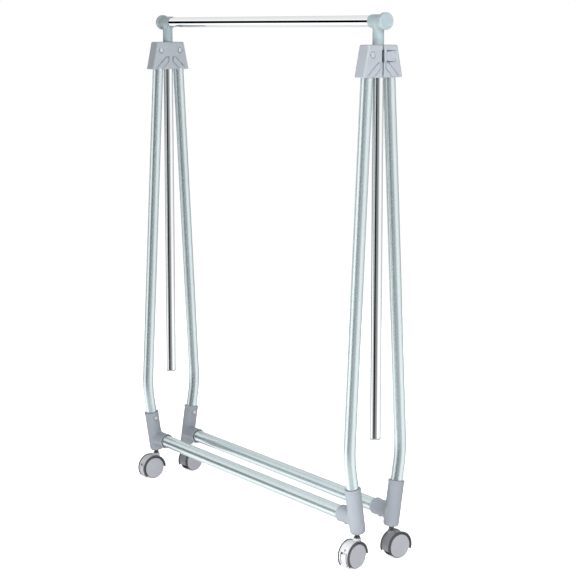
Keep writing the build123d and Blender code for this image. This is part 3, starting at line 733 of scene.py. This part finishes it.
class RACK_OT_clamp_heads(RackOperator, bpy.types.Operator):
    """Build the moulded clamp heads with slit, lever recess, bolt seats and slanting ribs"""
    bl_idname = "rack.clamp_heads"
    bl_label = "Clamp heads"

    def execute(self, context):
        sizes, tubes = context.scene.rack_heads, context.scene.rack_tubes
        low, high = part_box("clamp_head_right")
        centre = post_axis("right")
        back, face = low.x - centre + sizes.rib, high.x - centre - sizes.rib
        half, height = high.y, high.z - low.z
        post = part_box("post_right")
        bore = (post[1].x - post[0].x) / 2
        leg, lever, gap = leg_places()["radius"], lever_places(), 0.4 * MM
        far = 0.06

        def head(place):
            x, y, z = place[..., 0], np.abs(place[..., 1]), place[..., 2]
            lean = sizes.taper / height
            sides = (y - half + (z - low.z) * lean) / math.hypot(1, lean)
            walls = soft_max(sides, np.abs(x - (back + face) / 2) - (face - back) / 2, 3.2 * MM)
            body = soft_max(walls, np.abs(z - (low.z + high.z) / 2) - height / 2, 2.4 * MM)
            drop = high.z - z
            band = np.maximum(y - 12.9 * MM - (drop - 34.5 * MM) / 1.02,
                              6 * MM + (drop - 43.4 * MM) / 1.02 - y) / math.sqrt(2)
            ends = np.maximum(34.5 * MM - drop, drop - 60 * MM)
            band = soft_max(band, np.maximum(6 * MM - y, ends), 0.6 * MM)
            raised = np.abs(x - (back + face) / 2) - (face - back) / 2 - sizes.rib
            body = soft_min(body, soft_max(band, raised, 0.4 * MM), 0.3 * MM)
            groove = soft_max(np.abs(band - 0.5 * MM) - 0.85 * MM, -raised - 3.2 * sizes.rib, 0.2 * MM)
            body = cut(body, groove, 0.3 * MM)
            body = cut(body, bar(place, (0, 0, low.z - far), (0, 0, high.z + far), bore + gap), 1.4 * MM)
            bush = bar(place, (0, 0, low.z + sizes.bush_inset), (0, 0, high.z - sizes.bush_inset),
                       bore + sizes.bush_wall + 0.2 * MM)
            body = cut(body, bush)
            slit = brick(place, (0, -sizes.slit / 2, low.z - far),
                         (far, sizes.slit / 2, high.z + far), 0.3 * MM)
            body = cut(body, slit, 0.9 * MM)
            wide = brick(place, (0, -sizes.lever_gap / 2, lever["low"] - gap),
                         (far, sizes.lever_gap / 2, lever["high"] + gap), 0.3 * MM)
            body = cut(body, wide, 0.9 * MM)
            recess = brick(place, (lever["inner"] - gap, lever["y"] - lever["hub"] - gap, lever["low"] - gap),
                           (far, lever["end"] + gap, lever["high"] + gap), 0.6 * MM)
            hub = bar(place, (lever["x"], lever["y"], lever["low"] - gap),
                      (lever["x"], lever["y"], lever["high"] + gap), lever["hub"] + gap)
            body = cut(body, np.minimum(recess, hub), 0.9 * MM)
            # Finger notch beyond the lever's free end
            notch = bar(place, (face + 3.0 * MM, lever["end"] + 1.0 * MM, lever["low"] + 5 * MM),
                        (face + 3.0 * MM, lever["end"] + 1.0 * MM, lever["high"] - 5 * MM), 4.6 * MM, 2 * MM)
            body = cut(body, notch, 1.0 * MM)
            for end in ENDS.values():
                body = cut(body, bar(place, upper_point(low.z - far / 4, end),
                                     upper_point(low.z + tubes.leg_insert, end), leg + 0.1 * MM), 1.2 * MM)
                seat = (end * sizes.bolt_out, high.z - sizes.bolt_drop)
                body = cut(body, bar(place, (back - far, *seat), (back + sizes.counterbore, *seat),
                                     sizes.bolt_head + sizes.seat_room), 0.6 * MM)
            seat = (-sizes.bolt_out, high.z - sizes.bolt_drop)
            return cut(body, bar(place, (face - sizes.counterbore, *seat), (face + far, *seat),
                                 sizes.bolt_head + sizes.seat_room), 0.6 * MM)

        part = moulded(head, (back - sizes.rib, -half, low.z),
                       (face + sizes.rib, half, high.z), sizes.detail)
        for side in SIDES:
            piece = mesh_piece(f"moulded_clamp_head_{side}", [moved(part, side_matrix(side))], False)
            fit_piece(piece, "grey_moulding", "base_frame", f"clamp_head_{side}")
        return {"FINISHED"}


class RACK_OT_clamp_levers(RackOperator, bpy.types.Operator):
    """Build the flip levers with their thumb ridges"""
    bl_idname = "rack.clamp_levers"
    bl_label = "Clamp levers"

    def execute(self, context):
        spot = lever_places()

        def lever(place):
            hub = bar(place, (spot["x"], spot["y"], spot["low"]), (spot["x"], spot["y"], spot["high"]),
                      spot["hub"], 0.8 * MM)
            plate = brick(place, (spot["inner"], spot["y"], spot["low"]),
                          (spot["out"], spot["end"], spot["high"]),
                          1.4 * MM)
            body = soft_min(hub, plate, 1.0 * MM)
            # The plate widens towards its free end
            middle, tall = (spot["low"] + spot["high"]) / 2, (spot["high"] - spot["low"]) / 2
            reach = np.clip((place[..., 1] - spot["y"]) / (spot["end"] - spot["y"]), 0, 1)
            body = soft_max(body, np.abs(place[..., 2] - middle) - tall + 2.4 * MM * (1 - reach), 0.6 * MM)
            pin = bar(place, (spot["x"], spot["y"], spot["low"] - 0.01),
                      (spot["x"], spot["y"], spot["high"] + 0.01),
                      1.55 * MM)
            body = cut(body, pin, 0.3 * MM)
            for row in range(3):
                y = spot["end"] - (2.4 + 1.9 * row) * MM
                groove = bar(place, (spot["out"] + 0.45 * MM, y, spot["low"] + 4 * MM),
                             (spot["out"] + 0.45 * MM, y, spot["high"] - 4 * MM), 0.9 * MM, 0.4 * MM)
                body = cut(body, groove, 0.4 * MM)
            return body

        low = (spot["x"] - spot["hub"], spot["y"] - spot["hub"], spot["low"])
        part = moulded(lever, low, (spot["out"], spot["end"], spot["high"]), 0.4 * MM)
        for side in SIDES:
            piece = mesh_piece(f"flip_lever_{side}", [moved(part, side_matrix(side))], False)
            fit_piece(piece, "grey_moulding", f"clamp_lever_{side}", f"clamp_lever_{side}")
        return {"FINISHED"}


class RACK_OT_legs(RackOperator, bpy.types.Operator):
    """Build the four bent legs"""
    bl_idname = "rack.legs"
    bl_label = "Legs"

    def execute(self, context):
        sizes, leg = context.scene.rack_tubes, leg_places()
        for corner in CORNERS:
            end, side = corner.split("_")
            sign = ENDS[end]
            top = upper_point(leg["head_low"] + sizes.leg_insert, sign)
            foot = foot_point(context.scene.rack_feet.seat, sign)
            bend = np.array([0, sign * sizes.bend_out, sizes.bend_height])
            centre = rounded(np.array([top[1:], bend[1:], foot[1:]]), [0, sizes.bend_radius, 0], 32, 0)
            path = np.column_stack([np.full(len(centre), post_axis(side)), centre])
            tube = shell(carried_tube(path, leg["radius"], sizes.wall, sizes.sides), True)
            fit_piece(mesh_piece(f"bent_leg_{corner}", [tube]), "tube_paint", "base_frame", f"leg_{corner}")
        return {"FINISHED"}


def carried_tube(path, radius, wall, sides):
    """Ring carried down a path at the outer radius and back up it at the inner one, square to the path."""
    # A ring just inside each end keeps the wall's shading straight
    first, last = path[1] - path[0], path[-2] - path[-1]
    path = np.vstack([path[:1], path[:1] + 0.5 * MM * first / np.linalg.norm(first), path[1:-1],
                      path[-1:] + 0.5 * MM * last / np.linalg.norm(last), path[-1:]])
    slope = np.gradient(path, axis=0)
    slope /= np.linalg.norm(slope, axis=1, keepdims=True)
    across = np.array([1.0, 0.0, 0.0])
    up = np.cross(slope, across)
    angle = np.linspace(0, 2 * math.pi, sides, endpoint=False)[None, :, None]
    ring = np.cos(angle) * across + np.sin(angle) * up[:, None]
    outer, inner = path[:, None] + radius * ring, path[:, None] + (radius - wall) * ring
    return np.concatenate([outer, inner[::-1]])


class RACK_OT_bottom_rails(RackOperator, bpy.types.Operator):
    """Build the two bottom rails"""
    bl_idname = "rack.bottom_rails"
    bl_label = "Bottom rails"

    def execute(self, context):
        sizes = context.scene.rack_tubes
        for end in ENDS:
            low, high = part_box(f"bottom_rail_{end}")
            outline = tube_outline(high.x - low.x, (high.z - low.z) / 2, sizes.wall)
            start = (low.x, (low.y + high.y) / 2, (low.z + high.z) / 2)
            rail = shell(turned(outline, start, (1, 0, 0), sizes.sides), True)
            fit_piece(mesh_piece(f"painted_bottom_rail_{end}", [rail]), "tube_paint", "base_frame",
                      f"bottom_rail_{end}")
        return {"FINISHED"}


class RACK_OT_foot_connectors(RackOperator, bpy.types.Operator):
    """Build the foot connectors: a leaning leg socket that flows into a level rail barrel"""
    bl_idname = "rack.foot_connectors"
    bl_label = "Foot connectors"

    def execute(self, context):
        sizes, leg = context.scene.rack_feet, leg_places()
        rail_low, rail_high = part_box("bottom_rail_front")
        rail, rail_z = (rail_high.z - rail_low.z) / 2, (rail_high.z + rail_low.z) / 2
        rail_end = post_axis("right") - rail_high.x
        radius, barrel = leg["radius"] + sizes.wall, rail + sizes.barrel_wall
        stem = context.scene.rack_casters.stem
        axis_y, mouth = -leg["stem_y"], -sizes.barrel_reach

        def connector(place):
            socket = bar(place, foot_point(0, -1), foot_point(sizes.socket, -1), radius, 2.0 * MM)
            floor = (place - foot_point(0, -1)) @ (foot_point(1, -1) - foot_point(0, -1)) / MM * MM
            socket = soft_max(socket, -floor, 11 * MM)
            sleeve = bar(place, (0, axis_y, rail_z), (mouth, axis_y, rail_z), barrel, 2.0 * MM)
            body = soft_min(socket, sleeve, 5.0 * MM)
            rims = np.minimum(
                bar(place, foot_point(sizes.socket - 5 * MM, -1), foot_point(sizes.socket, -1),
                    radius + 0.8 * MM, 1.2 * MM),
                bar(place, (mouth + 4 * MM, axis_y, rail_z), (mouth, axis_y, rail_z),
                    barrel + 0.7 * MM, 1.2 * MM))
            body = soft_min(body, rims, 0.8 * MM)
            bores = np.minimum(
                bar(place, foot_point(sizes.seat, -1), foot_point(sizes.socket + 0.02, -1),
                    leg["radius"] + 0.15 * MM),
                bar(place, (-rail_end, axis_y, rail_z), (mouth - 0.02, axis_y, rail_z), rail + 0.15 * MM))
            body = cut(body, bores, 1.0 * MM)
            mouths = np.minimum(
                bar(place, foot_point(sizes.socket - 3 * MM, -1), foot_point(sizes.socket + 0.02, -1),
                    leg["radius"] + sizes.mouth_gap),
                bar(place, (mouth + 3 * MM, axis_y, rail_z), (mouth - 0.02, axis_y, rail_z),
                    rail + sizes.mouth_gap))
            body = cut(body, mouths, 0.5 * MM)
            seat = foot_point(sizes.socket - sizes.screw_drop, -1)
            room = bar(place, seat - np.array([radius + 0.02, 0, 0]),
                       seat - np.array([radius - 1.2 * MM, 0, 0]), sizes.screw_head + 1.4 * MM)
            body = cut(body, room, 0.4 * MM)
            return cut(body, bar(place, (0, axis_y, 0), (0, axis_y, leg["underside"] + 3 * MM),
                                 stem + 0.6 * MM),
                       1.6 * MM)

        low = (mouth, foot_point(sizes.socket, -1)[1] - radius - MM, leg["underside"] - 3 * MM)
        high = (radius + MM, axis_y + barrel + MM, leg["underside"] + sizes.socket + 3 * MM)
        part = moulded(connector, low, high, sizes.detail)
        for corner in CORNERS:
            end, side = corner.split("_")
            flip = Matrix.Diagonal((SIDES[side], -ENDS[end], 1, 1))
            points, quads = moved(part, Matrix.Translation((post_axis(side), 0, 0)) @ flip)
            if SIDES[side] * -ENDS[end] < 0:
                quads = quads[:, ::-1]
            piece = mesh_piece(f"moulded_foot_{corner}", [(points, quads)], False)
            fit_piece(piece, "foot_moulding", "base_frame", f"foot_connector_{corner}")
        return {"FINISHED"}


def screw_part(radius, height, shank, reach):
    """Pan-head screw along +X from its seat, with a cross recess: dome, shank and two slots as distances."""
    def screw(place):
        head = bar(place, (0, 0, 0), (height, 0, 0), radius, 1.6 * MM)
        ball = height + 1.2 * radius
        dome = np.linalg.norm(place - np.array([height - ball, 0, 0]), axis=-1) - ball
        body = soft_max(head, dome, 0.4 * MM)
        body = np.minimum(body, bar(place, (-reach, 0, 0), (0.5 * MM, 0, 0), shank))
        arm, slot, depth = 0.55 * radius, 0.11 * radius, height * 0.45
        for across in ((arm, slot), (slot, arm)):
            body = cut(body, brick(place, (depth, -across[0], -across[1]), (2 * height, across[0], across[1]),
                                   0.2 * MM), 0.2 * MM)
        return body

    return moulded(screw, (-reach, -radius, -radius), (height, radius, radius), 0.3 * MM)


def aim(point, direction):
    """Matrix that puts +X along a direction at a point."""
    across, up, along = axes_of(direction)
    turn = Matrix((along, across, up)).transposed().to_4x4()
    return Matrix.Translation(point) @ turn


class RACK_OT_screws(RackOperator, bpy.types.Operator):
    """Build the head bolts, their sleeve nuts, and the screws of legs and bottom rails"""
    bl_idname = "rack.screws"
    bl_label = "Screws"

    def execute(self, context):
        heads, feet, leg = context.scene.rack_heads, context.scene.rack_feet, leg_places()
        low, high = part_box("clamp_head_right")
        centre = post_axis("right")
        back, face = low.x - centre + heads.rib, high.x - centre - heads.rib
        bolt_z, lever = high.z - heads.bolt_drop, lever_places()
        bolt = screw_part(heads.bolt_head, 2.4 * MM, 2.5 * MM, 12 * MM)
        nut = screw_part(heads.bolt_head, 2.4 * MM, 2.5 * MM, 4 * MM)
        small = screw_part(feet.screw_head, 3.4 * MM, 2.0 * MM, 6 * MM)
        bolts, nuts, leg_screws, rail_screws = [], [], [], []
        radius = leg["radius"] + feet.wall
        rail_low, rail_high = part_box("bottom_rail_front")
        barrel = (rail_high.z - rail_low.z) / 2 + feet.barrel_wall
        rail_z = (rail_high.z + rail_low.z) / 2
        for side, sign in SIDES.items():
            for end in ENDS.values():
                at_post = side_matrix(side)
                y = end * heads.bolt_out
                bolts.append(moved(bolt, at_post @ aim((back + heads.counterbore, y, bolt_z), (-1, 0, 0))))
                seat = face - heads.counterbore if end < 0 else lever["inner"] - 2.9 * MM
                nuts.append(moved(nut, at_post @ aim((seat, y, bolt_z), (1, 0, 0))))
                spot = foot_point(feet.socket - feet.screw_drop, end)
                spot = (post_axis(side) - sign * (radius - 1.2 * MM), spot[1], spot[2])
                leg_screws.append(moved(small, aim(spot, (-sign, 0, 0))))
                x = post_axis(side) - sign * (feet.barrel_reach - 14 * MM)
                rail_screws.append(moved(small, aim((x, end * leg["stem_y"], rail_z - barrel), (0, 0, -1))))
        for name, parts, node in (("head_bolt_set", bolts, "head_bolts"), ("head_nut_set", nuts, "head_nuts"),
                                  ("leg_screw_set", leg_screws, "leg_screws"),
                                  ("rail_screw_set", rail_screws, "rail_screws")):
            fit_piece(mesh_piece(name, parts, False), "zinc_plate", "base_frame", node)
        return {"FINISHED"}


class RACK_OT_caster_stems(RackOperator, bpy.types.Operator):
    """Build the casters' steel stems with their washers"""
    bl_idname = "rack.caster_stems"
    bl_label = "Caster stems"

    def execute(self, context):
        sizes = context.scene.rack_casters
        for corner in CORNERS:
            low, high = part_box(f"caster_stem_{corner}")
            washer, top = (high.x - low.x) / 2, high.z - low.z
            rise = JOINTS[f"swivel_{corner}"]["pos_m"][2] + 0.4 * MM - low.z
            corners = [(0, 0), (0, 3.5 * MM), (rise, 3.5 * MM), (rise, washer), (rise + 1.8 * MM, washer),
                       (rise + 1.8 * MM, sizes.stem), (top, sizes.stem), (top, 0)]
            outline = rounded(corners, [0, 0.6 * MM, 0, 0.4 * MM, 0.5 * MM, 0, 1.0 * MM, 0])
            start = ((low.x + high.x) / 2, (low.y + high.y) / 2, low.z)
            stem = shell(turned(outline, start, (0, 0, 1), 48))
            fit_piece(mesh_piece(f"steel_stem_{corner}", [stem]), "dark_steel", "base_frame",
                      f"caster_stem_{corner}")
        return {"FINISHED"}


def sweep_angles(end):
    """First and last angle of a hood's fender, from the caster's +Y over the top."""
    start = 0.0 if end == "front" else -20.0
    return math.radians(start), math.radians(start + 220.0)


def about_axle(place, layout):
    """Distance from the axle's axis and angle about it, from the caster's +Y over the top."""
    y, z = place[..., 1] + layout["trail"], place[..., 2] - layout["radius"]
    angle = np.arctan2(z, y)
    return np.hypot(y, z), np.where(angle < -math.pi / 2, angle + 2 * math.pi, angle)


class RACK_OT_caster_hoods(RackOperator, bpy.types.Operator):
    """Build the caster hoods and the black strips along their edges, which are partly a real black edge and
    partly painted shadow of the gap between fender and disc
    """
    bl_idname = "rack.caster_hoods"
    bl_label = "Caster hoods"

    def execute(self, context):
        sizes, layout = context.scene.rack_casters, caster_layout()
        inner = layout["radius"] + sizes.fender_gap
        outer = inner + sizes.fender_wall
        half, top = layout["half"], layout["top"]
        pivot = pedal_pivot()
        for end in ENDS:
            first, last = sweep_angles(end)
            middle, reach = (first + last) / 2, (last - first) / 2

            def hood(place, end=end, middle=middle, reach=reach):
                radius, angle = about_axle(place, layout)
                x = np.abs(place[..., 0])
                fender = np.abs(radius - (inner + outer) / 2) - (outer - inner) / 2
                fender = soft_max(fender, x - half, 1.2 * MM)
                turn = np.abs(angle - middle)
                turn = np.minimum(turn, 2 * math.pi - turn)
                fender = soft_max(fender, (turn - reach) * inner, 1.4 * MM)
                web = soft_max(radius - inner, x - sizes.web, 0.8 * MM)
                web = soft_max(web, layout["radius"] - 10 * MM - place[..., 2], 1.2 * MM)
                boss = bar(place, (0, 0, layout["radius"]), (0, 0, top), sizes.boss, 1.8 * MM)
                room = soft_max(radius - inner, sizes.web - x, 0.6 * MM)
                body = soft_min(fender, cut(boss, room, 0.8 * MM), 4.0 * MM)
                wells = soft_max(radius - inner, sizes.web + 0.1 * MM - x, 0.3 * MM)
                body = soft_max(body, -wells, 0.4 * MM)
                body = soft_min(body, web, 1.0 * MM)
                body = cut(body, bar(place, (0, 0, 36.6 * MM), (0, 0, 2 * top), 3.7 * MM), 0.6 * MM)
                body = cut(body, soft_max(radius - 2.7 * MM, x - 2 * half, MM), 0.6 * MM)
                if end == "front":
                    slot = soft_max(inner - 0.2 * MM - radius, x - 8.4 * MM, 0.4 * MM)
                    slot = soft_max(slot, (math.radians(158) - angle) * inner, 0.4 * MM)
                    body = cut(body, slot, 0.8 * MM)
                    lug = soft_max(x - 2.2 * MM, 18 * MM - radius, 0.4 * MM)
                    lug = soft_max(lug, (math.radians(158) - angle) * inner, 0.4 * MM)
                    body = cut(body, soft_max(lug, (angle - math.radians(235)) * inner, 0.4 * MM), 0.6 * MM)
                    body = cut(body, bar(place, (-0.02, *pivot), (0.02, *pivot), 1.5 * MM), 0.3 * MM)
                    axle = np.array([0, -layout["trail"], layout["radius"]])
                    eye = math.radians(148)
                    reach_out = np.array([0, math.cos(eye), math.sin(eye)]) * 30 * MM
                    body = cut(body, bar(place, axle, axle + reach_out, 2.2 * MM), 0.3 * MM)
                return body

            y = -layout["trail"]
            part = moulded(hood, (-half, y - outer, layout["radius"] - outer),
                           (half, y + outer, top), sizes.detail)
            for corner in CORNERS:
                if not corner.startswith(end):
                    continue
                piece = mesh_piece(f"moulded_hood_{corner}", [moved(part, caster_matrix(corner))], False)
                # The back hoods get the darker copy of the hood grey, which is painted shade
                finish = "hood_moulding" if corner.startswith("front") else "dark_hood_moulding"
                fit_piece(piece, finish, f"caster_{corner}", f"caster_hood_{corner}")
                # Black strips on both fender edges: partly a real edge, partly painted shadow of the gap
                # between fender and disc
                gap_shadow_trims = [moved(self.trim(first, last, sign), caster_matrix(corner)) for sign in (-1, 1)]
                fit_piece(mesh_piece(f"hood_trims_{corner}", gap_shadow_trims), "black_nylon", f"caster_{corner}")
        return {"FINISHED"}

    def trim(self, first, last, sign):
        """Rounded black strip along the fender's edge, partly a real edge and partly painted shadow of the
        gap between fender and disc: an outline of (radius, offset) swept through an angle.
        """
        sizes, layout = bpy.context.scene.rack_casters, caster_layout()
        inner = layout["radius"] + sizes.fender_gap - 0.3 * MM
        outer = inner + sizes.fender_wall + 2.0 * MM
        far, near = layout["disc_out"] - 0.1 * MM, layout["disc_out"] - sizes.trim
        corners = [(inner, near), (outer, near), (outer, far), (inner, far)]
        outline = rounded(corners, [0.4 * MM, 0.4 * MM, 0.7 * MM, 0.4 * MM], 3, 0.1 * MM)
        middle = outline.mean(0)
        outlines = [outline * 0 + middle, outline]
        angle = np.concatenate([[first], np.linspace(first, last, 72), [last]])
        size = np.concatenate([[0], np.ones(72), [0]])
        ring = outlines[0] + size[:, None, None] * (outlines[1] - outlines[0])
        y = ring[..., 0] * np.cos(angle)[:, None] - layout["trail"]
        z = ring[..., 0] * np.sin(angle)[:, None] + layout["radius"]
        return shell(np.stack([sign * ring[..., 1], y, z], -1))


def pedal_pivot():
    """Brake pedal's pivot in a caster's own place: its Y and Z."""
    spot = caster_matrix("front_left").inverted() @ Vector(JOINTS["brake_front_left"]["pos_m"])
    return spot.y, spot.z


class RACK_OT_brake_pedals(RackOperator, bpy.types.Operator):
    """Build the brake pedals of the front casters"""
    bl_idname = "rack.brake_pedals"
    bl_label = "Brake pedals"

    def execute(self, context):
        sizes, layout = context.scene.rack_casters, caster_layout()
        inner = layout["radius"] + sizes.fender_gap + 0.4 * MM
        outer = inner + sizes.fender_wall
        pivot, half = pedal_pivot(), 6.3 * MM

        def pedal(place):
            radius, angle = about_axle(place, layout)
            x = np.abs(place[..., 0])
            plate = soft_max(np.abs(radius - (inner + outer) / 2) - (outer - inner) / 2, x - half, 1.0 * MM)
            spread = np.abs(angle - math.radians(193.5)) - math.radians(27.5)
            plate = soft_max(plate, spread * inner, 1.2 * MM)
            lip = soft_max(np.abs(radius - inner - 2.2 * MM) - 2.2 * MM, x - half, 1.0 * MM)
            lip = soft_max(lip, (np.abs(angle - math.radians(215)) - math.radians(6)) * inner, 1.0 * MM)
            body = soft_min(plate, lip, 1.5 * MM)
            for degrees in (192, 198, 204):
                ridge = np.hypot(radius - outer, (angle - math.radians(degrees)) * outer) - 0.55 * MM
                body = soft_min(body, soft_max(ridge, x - 5.6 * MM, 0.5 * MM), 0.4 * MM)
            knuckle = bar(place, (-1.7 * MM, *pivot), (1.7 * MM, *pivot), 3 * MM)
            arm = soft_max(np.abs(radius - 23.6 * MM) - 3 * MM, x - 1.7 * MM, 0.4 * MM)
            arm = soft_max(arm, (np.abs(angle - math.radians(170)) - math.radians(6.5)) * inner, 0.4 * MM)
            pin = bar(place, (-4.6 * MM, *pivot), (4.6 * MM, *pivot), 1.3 * MM, 0.4 * MM)
            return np.minimum(soft_min(body, soft_min(knuckle, arm, MM), 0.6 * MM), pin)

        y, z = -layout["trail"], layout["radius"]
        part = moulded(pedal, (-7 * MM, y - outer - MM, z - outer),
                       (7 * MM, y - 14 * MM, z + 12 * MM), 0.45 * MM)
        for corner in CORNERS:
            if corner.startswith("front"):
                piece = mesh_piece(f"brake_lever_{corner}", [moved(part, caster_matrix(corner))], False)
                fit_piece(piece, "hood_moulding", f"brake_pedal_{corner}", f"brake_pedal_{corner}")
        return {"FINISHED"}


class RACK_OT_caster_wheels(RackOperator, bpy.types.Operator):
    """Build the wheels and the discs that cover them"""
    bl_idname = "rack.caster_wheels"
    bl_label = "Caster wheels"

    def execute(self, context):
        sizes, layout = context.scene.rack_casters, caster_layout()
        radius, near, far = layout["radius"], layout["wheel_in"], layout["wheel_out"]
        width, disc = far - near, radius - sizes.disc_inset
        bore = 2.5 * MM
        corners = [(0, bore), (0, 6 * MM), (1.6 * MM, 7.5 * MM), (1.6 * MM, 20 * MM), (0, 21 * MM),
                   (0, radius), (width, radius), (width, bore)]
        radii = np.array([0.2, 0.6, 0.6, 0.6, 0.6, 1.4, 1.4, 0.2]) * MM
        tyre = rounded(corners, radii)
        thick = layout["disc_out"] - far
        corners = [(0, 0), (0, disc), (thick - 0.35 * MM, disc), (thick, disc - 3 * MM),
                   (thick - 0.3 * MM, 5 * MM), (thick - 0.3 * MM, 0)]
        cover = rounded(corners, [0, 0.2 * MM, 0.9 * MM, 2.0 * MM, 2.0 * MM, 0])
        for corner in CORNERS:
            place, covers = caster_matrix(corner), []
            end, side = corner.split("_")
            outward = -SIDES[side] * ENDS[end]
            for sign, name in ((outward, "outer"), (-outward, "inner")):
                start = (sign * near, -layout["trail"], radius)
                wheel = moved(shell(turned(tyre, start, (sign, 0, 0), 96), True), place)
                fit_piece(mesh_piece(f"wheel_{name}_{corner}", [wheel]), "black_wheel", f"wheels_{corner}",
                          f"caster_wheel_{name}_{corner}")
                start = (sign * far, -layout["trail"], radius)
                covers.append(moved(shell(turned(cover, start, (sign, 0, 0), 96)), place))
            fit_piece(mesh_piece(f"hub_discs_{corner}", covers), "disc_moulding", f"wheels_{corner}",
                      f"caster_hub_discs_{corner}")
        return {"FINISHED"}


class RACK_OT_inner_pieces(RackOperator, bpy.types.Operator):
    """Give the bushes, plugs, pins, axles and sockets inside the rack their finishes"""
    bl_idname = "rack.inner_pieces"
    bl_label = "Inner pieces"

    def execute(self, context):
        for name, node in frame["nodes"].items():
            if node.hide_render:
                continue
            finish = "dark_steel" if name.startswith(("lever_pin", "caster_axle")) else "nylon"
            node.data.materials.clear()
            node.data.materials.append(finish_material("black_nylon" if "bush" in name else finish))
        return {"FINISHED"}


class RACK_OT_stage(RackOperator, bpy.types.Operator):
    """Set up the pale floor, the studio light and the camera"""
    bl_idname = "rack.stage"
    bl_label = "Stage"

    def execute(self, context):
        scene = context.scene
        scene.view_settings.view_transform = "Standard"
        scene.world = self.studio()
        self.floor()
        self.lights()
        self.camera(scene)
        return {"FINISHED"}

    def studio(self):
        """White room as seen directly; the metal mirrors soft grey walls, dark strips and a pale ceiling.

        Azimuth is measured from the side that the rack is seen from, clockwise seen from above.
        """
        world = bpy.data.worlds.new("studio")
        world.use_nodes = True
        bench = Bench(world, Color=(1.0, 1.0, 1.0, 1.0))
        turned_place = bench.node("ShaderNodeVectorRotate", {"rotation_type": "Z_AXIS"},
                                  {"Vector": bench.node("ShaderNodeTexCoord", output="Generated"),
                                   "Angle": math.radians(90.0 - CAMERA_TURN)})
        axes = [bench.node("ShaderNodeSeparateXYZ", None, {0: turned_place}, output=k) for k in range(3)]
        azimuth = bench.maths("ARCTAN2", axes[1], axes[0]) * (1 / (2 * math.pi)) + 0.5
        height = axes[2] * 0.5 + 0.5
        walls = bench.maths("MAXIMUM", bench.ramp(azimuth, WALLS), bench.ramp(height, FLOOR_GLOW))
        walls = walls * bench.ramp(height, LOW_WALLS)
        strip = bench.ramp(azimuth, STRIP) * bench.ramp(height, STRIP_HEIGHT)
        ceiling = bench.ramp(height, CEILING)
        seen = walls * (1.0 - strip) * (1.0 - ceiling) + ceiling * CEILING_LIGHT
        direct = bench.node("ShaderNodeLightPath", output="Is Camera Ray")
        scattered = bench.node("ShaderNodeLightPath", output="Is Diffuse Ray")
        seen = seen * (1.0 - scattered * (1.0 - ROOM_LIGHT))
        bench.feed("Strength", seen * (1.0 - direct) + direct)
        return world

    def floor(self):
        """Wide pale floor, which glows a little so that it stays as pale as the room."""
        bench = Bench("pale_floor", Roughness=0.9, Specular_IOR_Level=0.1, Emission_Strength=FLOOR_LIGHT,
                      Emission_Color=(1.0, 1.0, 1.0, 1.0))
        bench.feed("Base Color", bench.between(bench.noise(3.0), (0.95, 0.95, 0.95), (0.97, 0.97, 0.97)))
        mesh = bpy.data.meshes.new("floor")
        reach = FLOOR_REACH
        mesh.from_pydata([(-reach, -reach, 0), (reach, -reach, 0), (reach, reach, 0), (-reach, reach, 0)],
                         [], [(0, 1, 2, 3)])
        floor = bpy.data.objects.new("floor", mesh)
        mesh.materials.append(bench.material)
        bpy.context.scene.collection.objects.link(floor)
        floor.visible_glossy = False

    def lights(self):
        """Soft lamps that the metal doesn't mirror."""
        for name, place, aim_at, size, power in LAMPS:
            light = bpy.data.lights.new(name, "AREA")
            light.shape, light.energy = "RECTANGLE", power
            light.size, light.size_y = size
            lamp = bpy.data.objects.new(name, light)
            lamp.location = place
            lamp.visible_glossy = False
            lamp.rotation_euler = (Vector(aim_at) - Vector(place)).to_track_quat("-Z", "Y").to_euler()
            bpy.context.scene.collection.objects.link(lamp)

    def camera(self, scene):
        """Camera at the rack's right front, level with the rail and looking slightly down."""
        turn, down = math.radians(CAMERA_TURN), math.radians(CAMERA_DOWN)
        lens = bpy.data.cameras.new("camera")
        lens.lens, lens.sensor_width, lens.shift_y = CAMERA_LENS, 36.0, CAMERA_SHIFT
        lens.clip_end = 100.0
        camera = bpy.data.objects.new("camera", lens)
        camera.location = CAMERA_PLACE
        camera.rotation_euler = (math.pi / 2 - down, 0.0, turn)
        scene.collection.objects.link(camera)
        scene.camera = camera


GROUPS = {
    "rack_tubes": TubeSizes, "rack_heads": HeadSizes, "rack_feet": FootSizes,
    "rack_casters": CasterSizes, "rack_finishes": Finishes,
}
STEPS = [
    RACK_OT_hanging_rail, RACK_OT_posts, RACK_OT_tee_fittings, RACK_OT_end_caps, RACK_OT_clamp_heads,
    RACK_OT_clamp_levers, RACK_OT_legs, RACK_OT_bottom_rails, RACK_OT_foot_connectors, RACK_OT_screws,
    RACK_OT_caster_stems, RACK_OT_caster_hoods, RACK_OT_brake_pedals, RACK_OT_caster_wheels,
    RACK_OT_inner_pieces, RACK_OT_stage,
]


class RACK_PT_panel(bpy.types.Panel):
    """Lists the pieces of the rack"""
    bl_idname = "RACK_PT_panel"
    bl_label = "Rolling clothes rack"
    bl_space_type = "VIEW_3D"
    bl_region_type = "UI"
    bl_category = "Clothes rack"

    def draw(self, context):
        for step in STEPS:
            self.layout.operator(step.bl_idname)
        for group in GROUPS:
            box = self.layout.box()
            for name in getattr(context.scene, group).__annotations__:
                box.prop(getattr(context.scene, group), name)


def register():
    for group, kind in GROUPS.items():
        bpy.utils.register_class(kind)
        setattr(bpy.types.Scene, group, PointerProperty(type=kind))
    for kind in [*STEPS, RACK_PT_panel]:
        bpy.utils.register_class(kind)


def unregister():
    for kind in [RACK_PT_panel, *reversed(STEPS)]:
        bpy.utils.unregister_class(kind)
    for group, kind in GROUPS.items():
        delattr(bpy.types.Scene, group)
        bpy.utils.unregister_class(kind)


def main():
    register()
    for step in STEPS:
        section, name = step.bl_idname.split(".")
        getattr(getattr(bpy.ops, section), name)()
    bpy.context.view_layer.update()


if __name__ == "__main__":
    main()
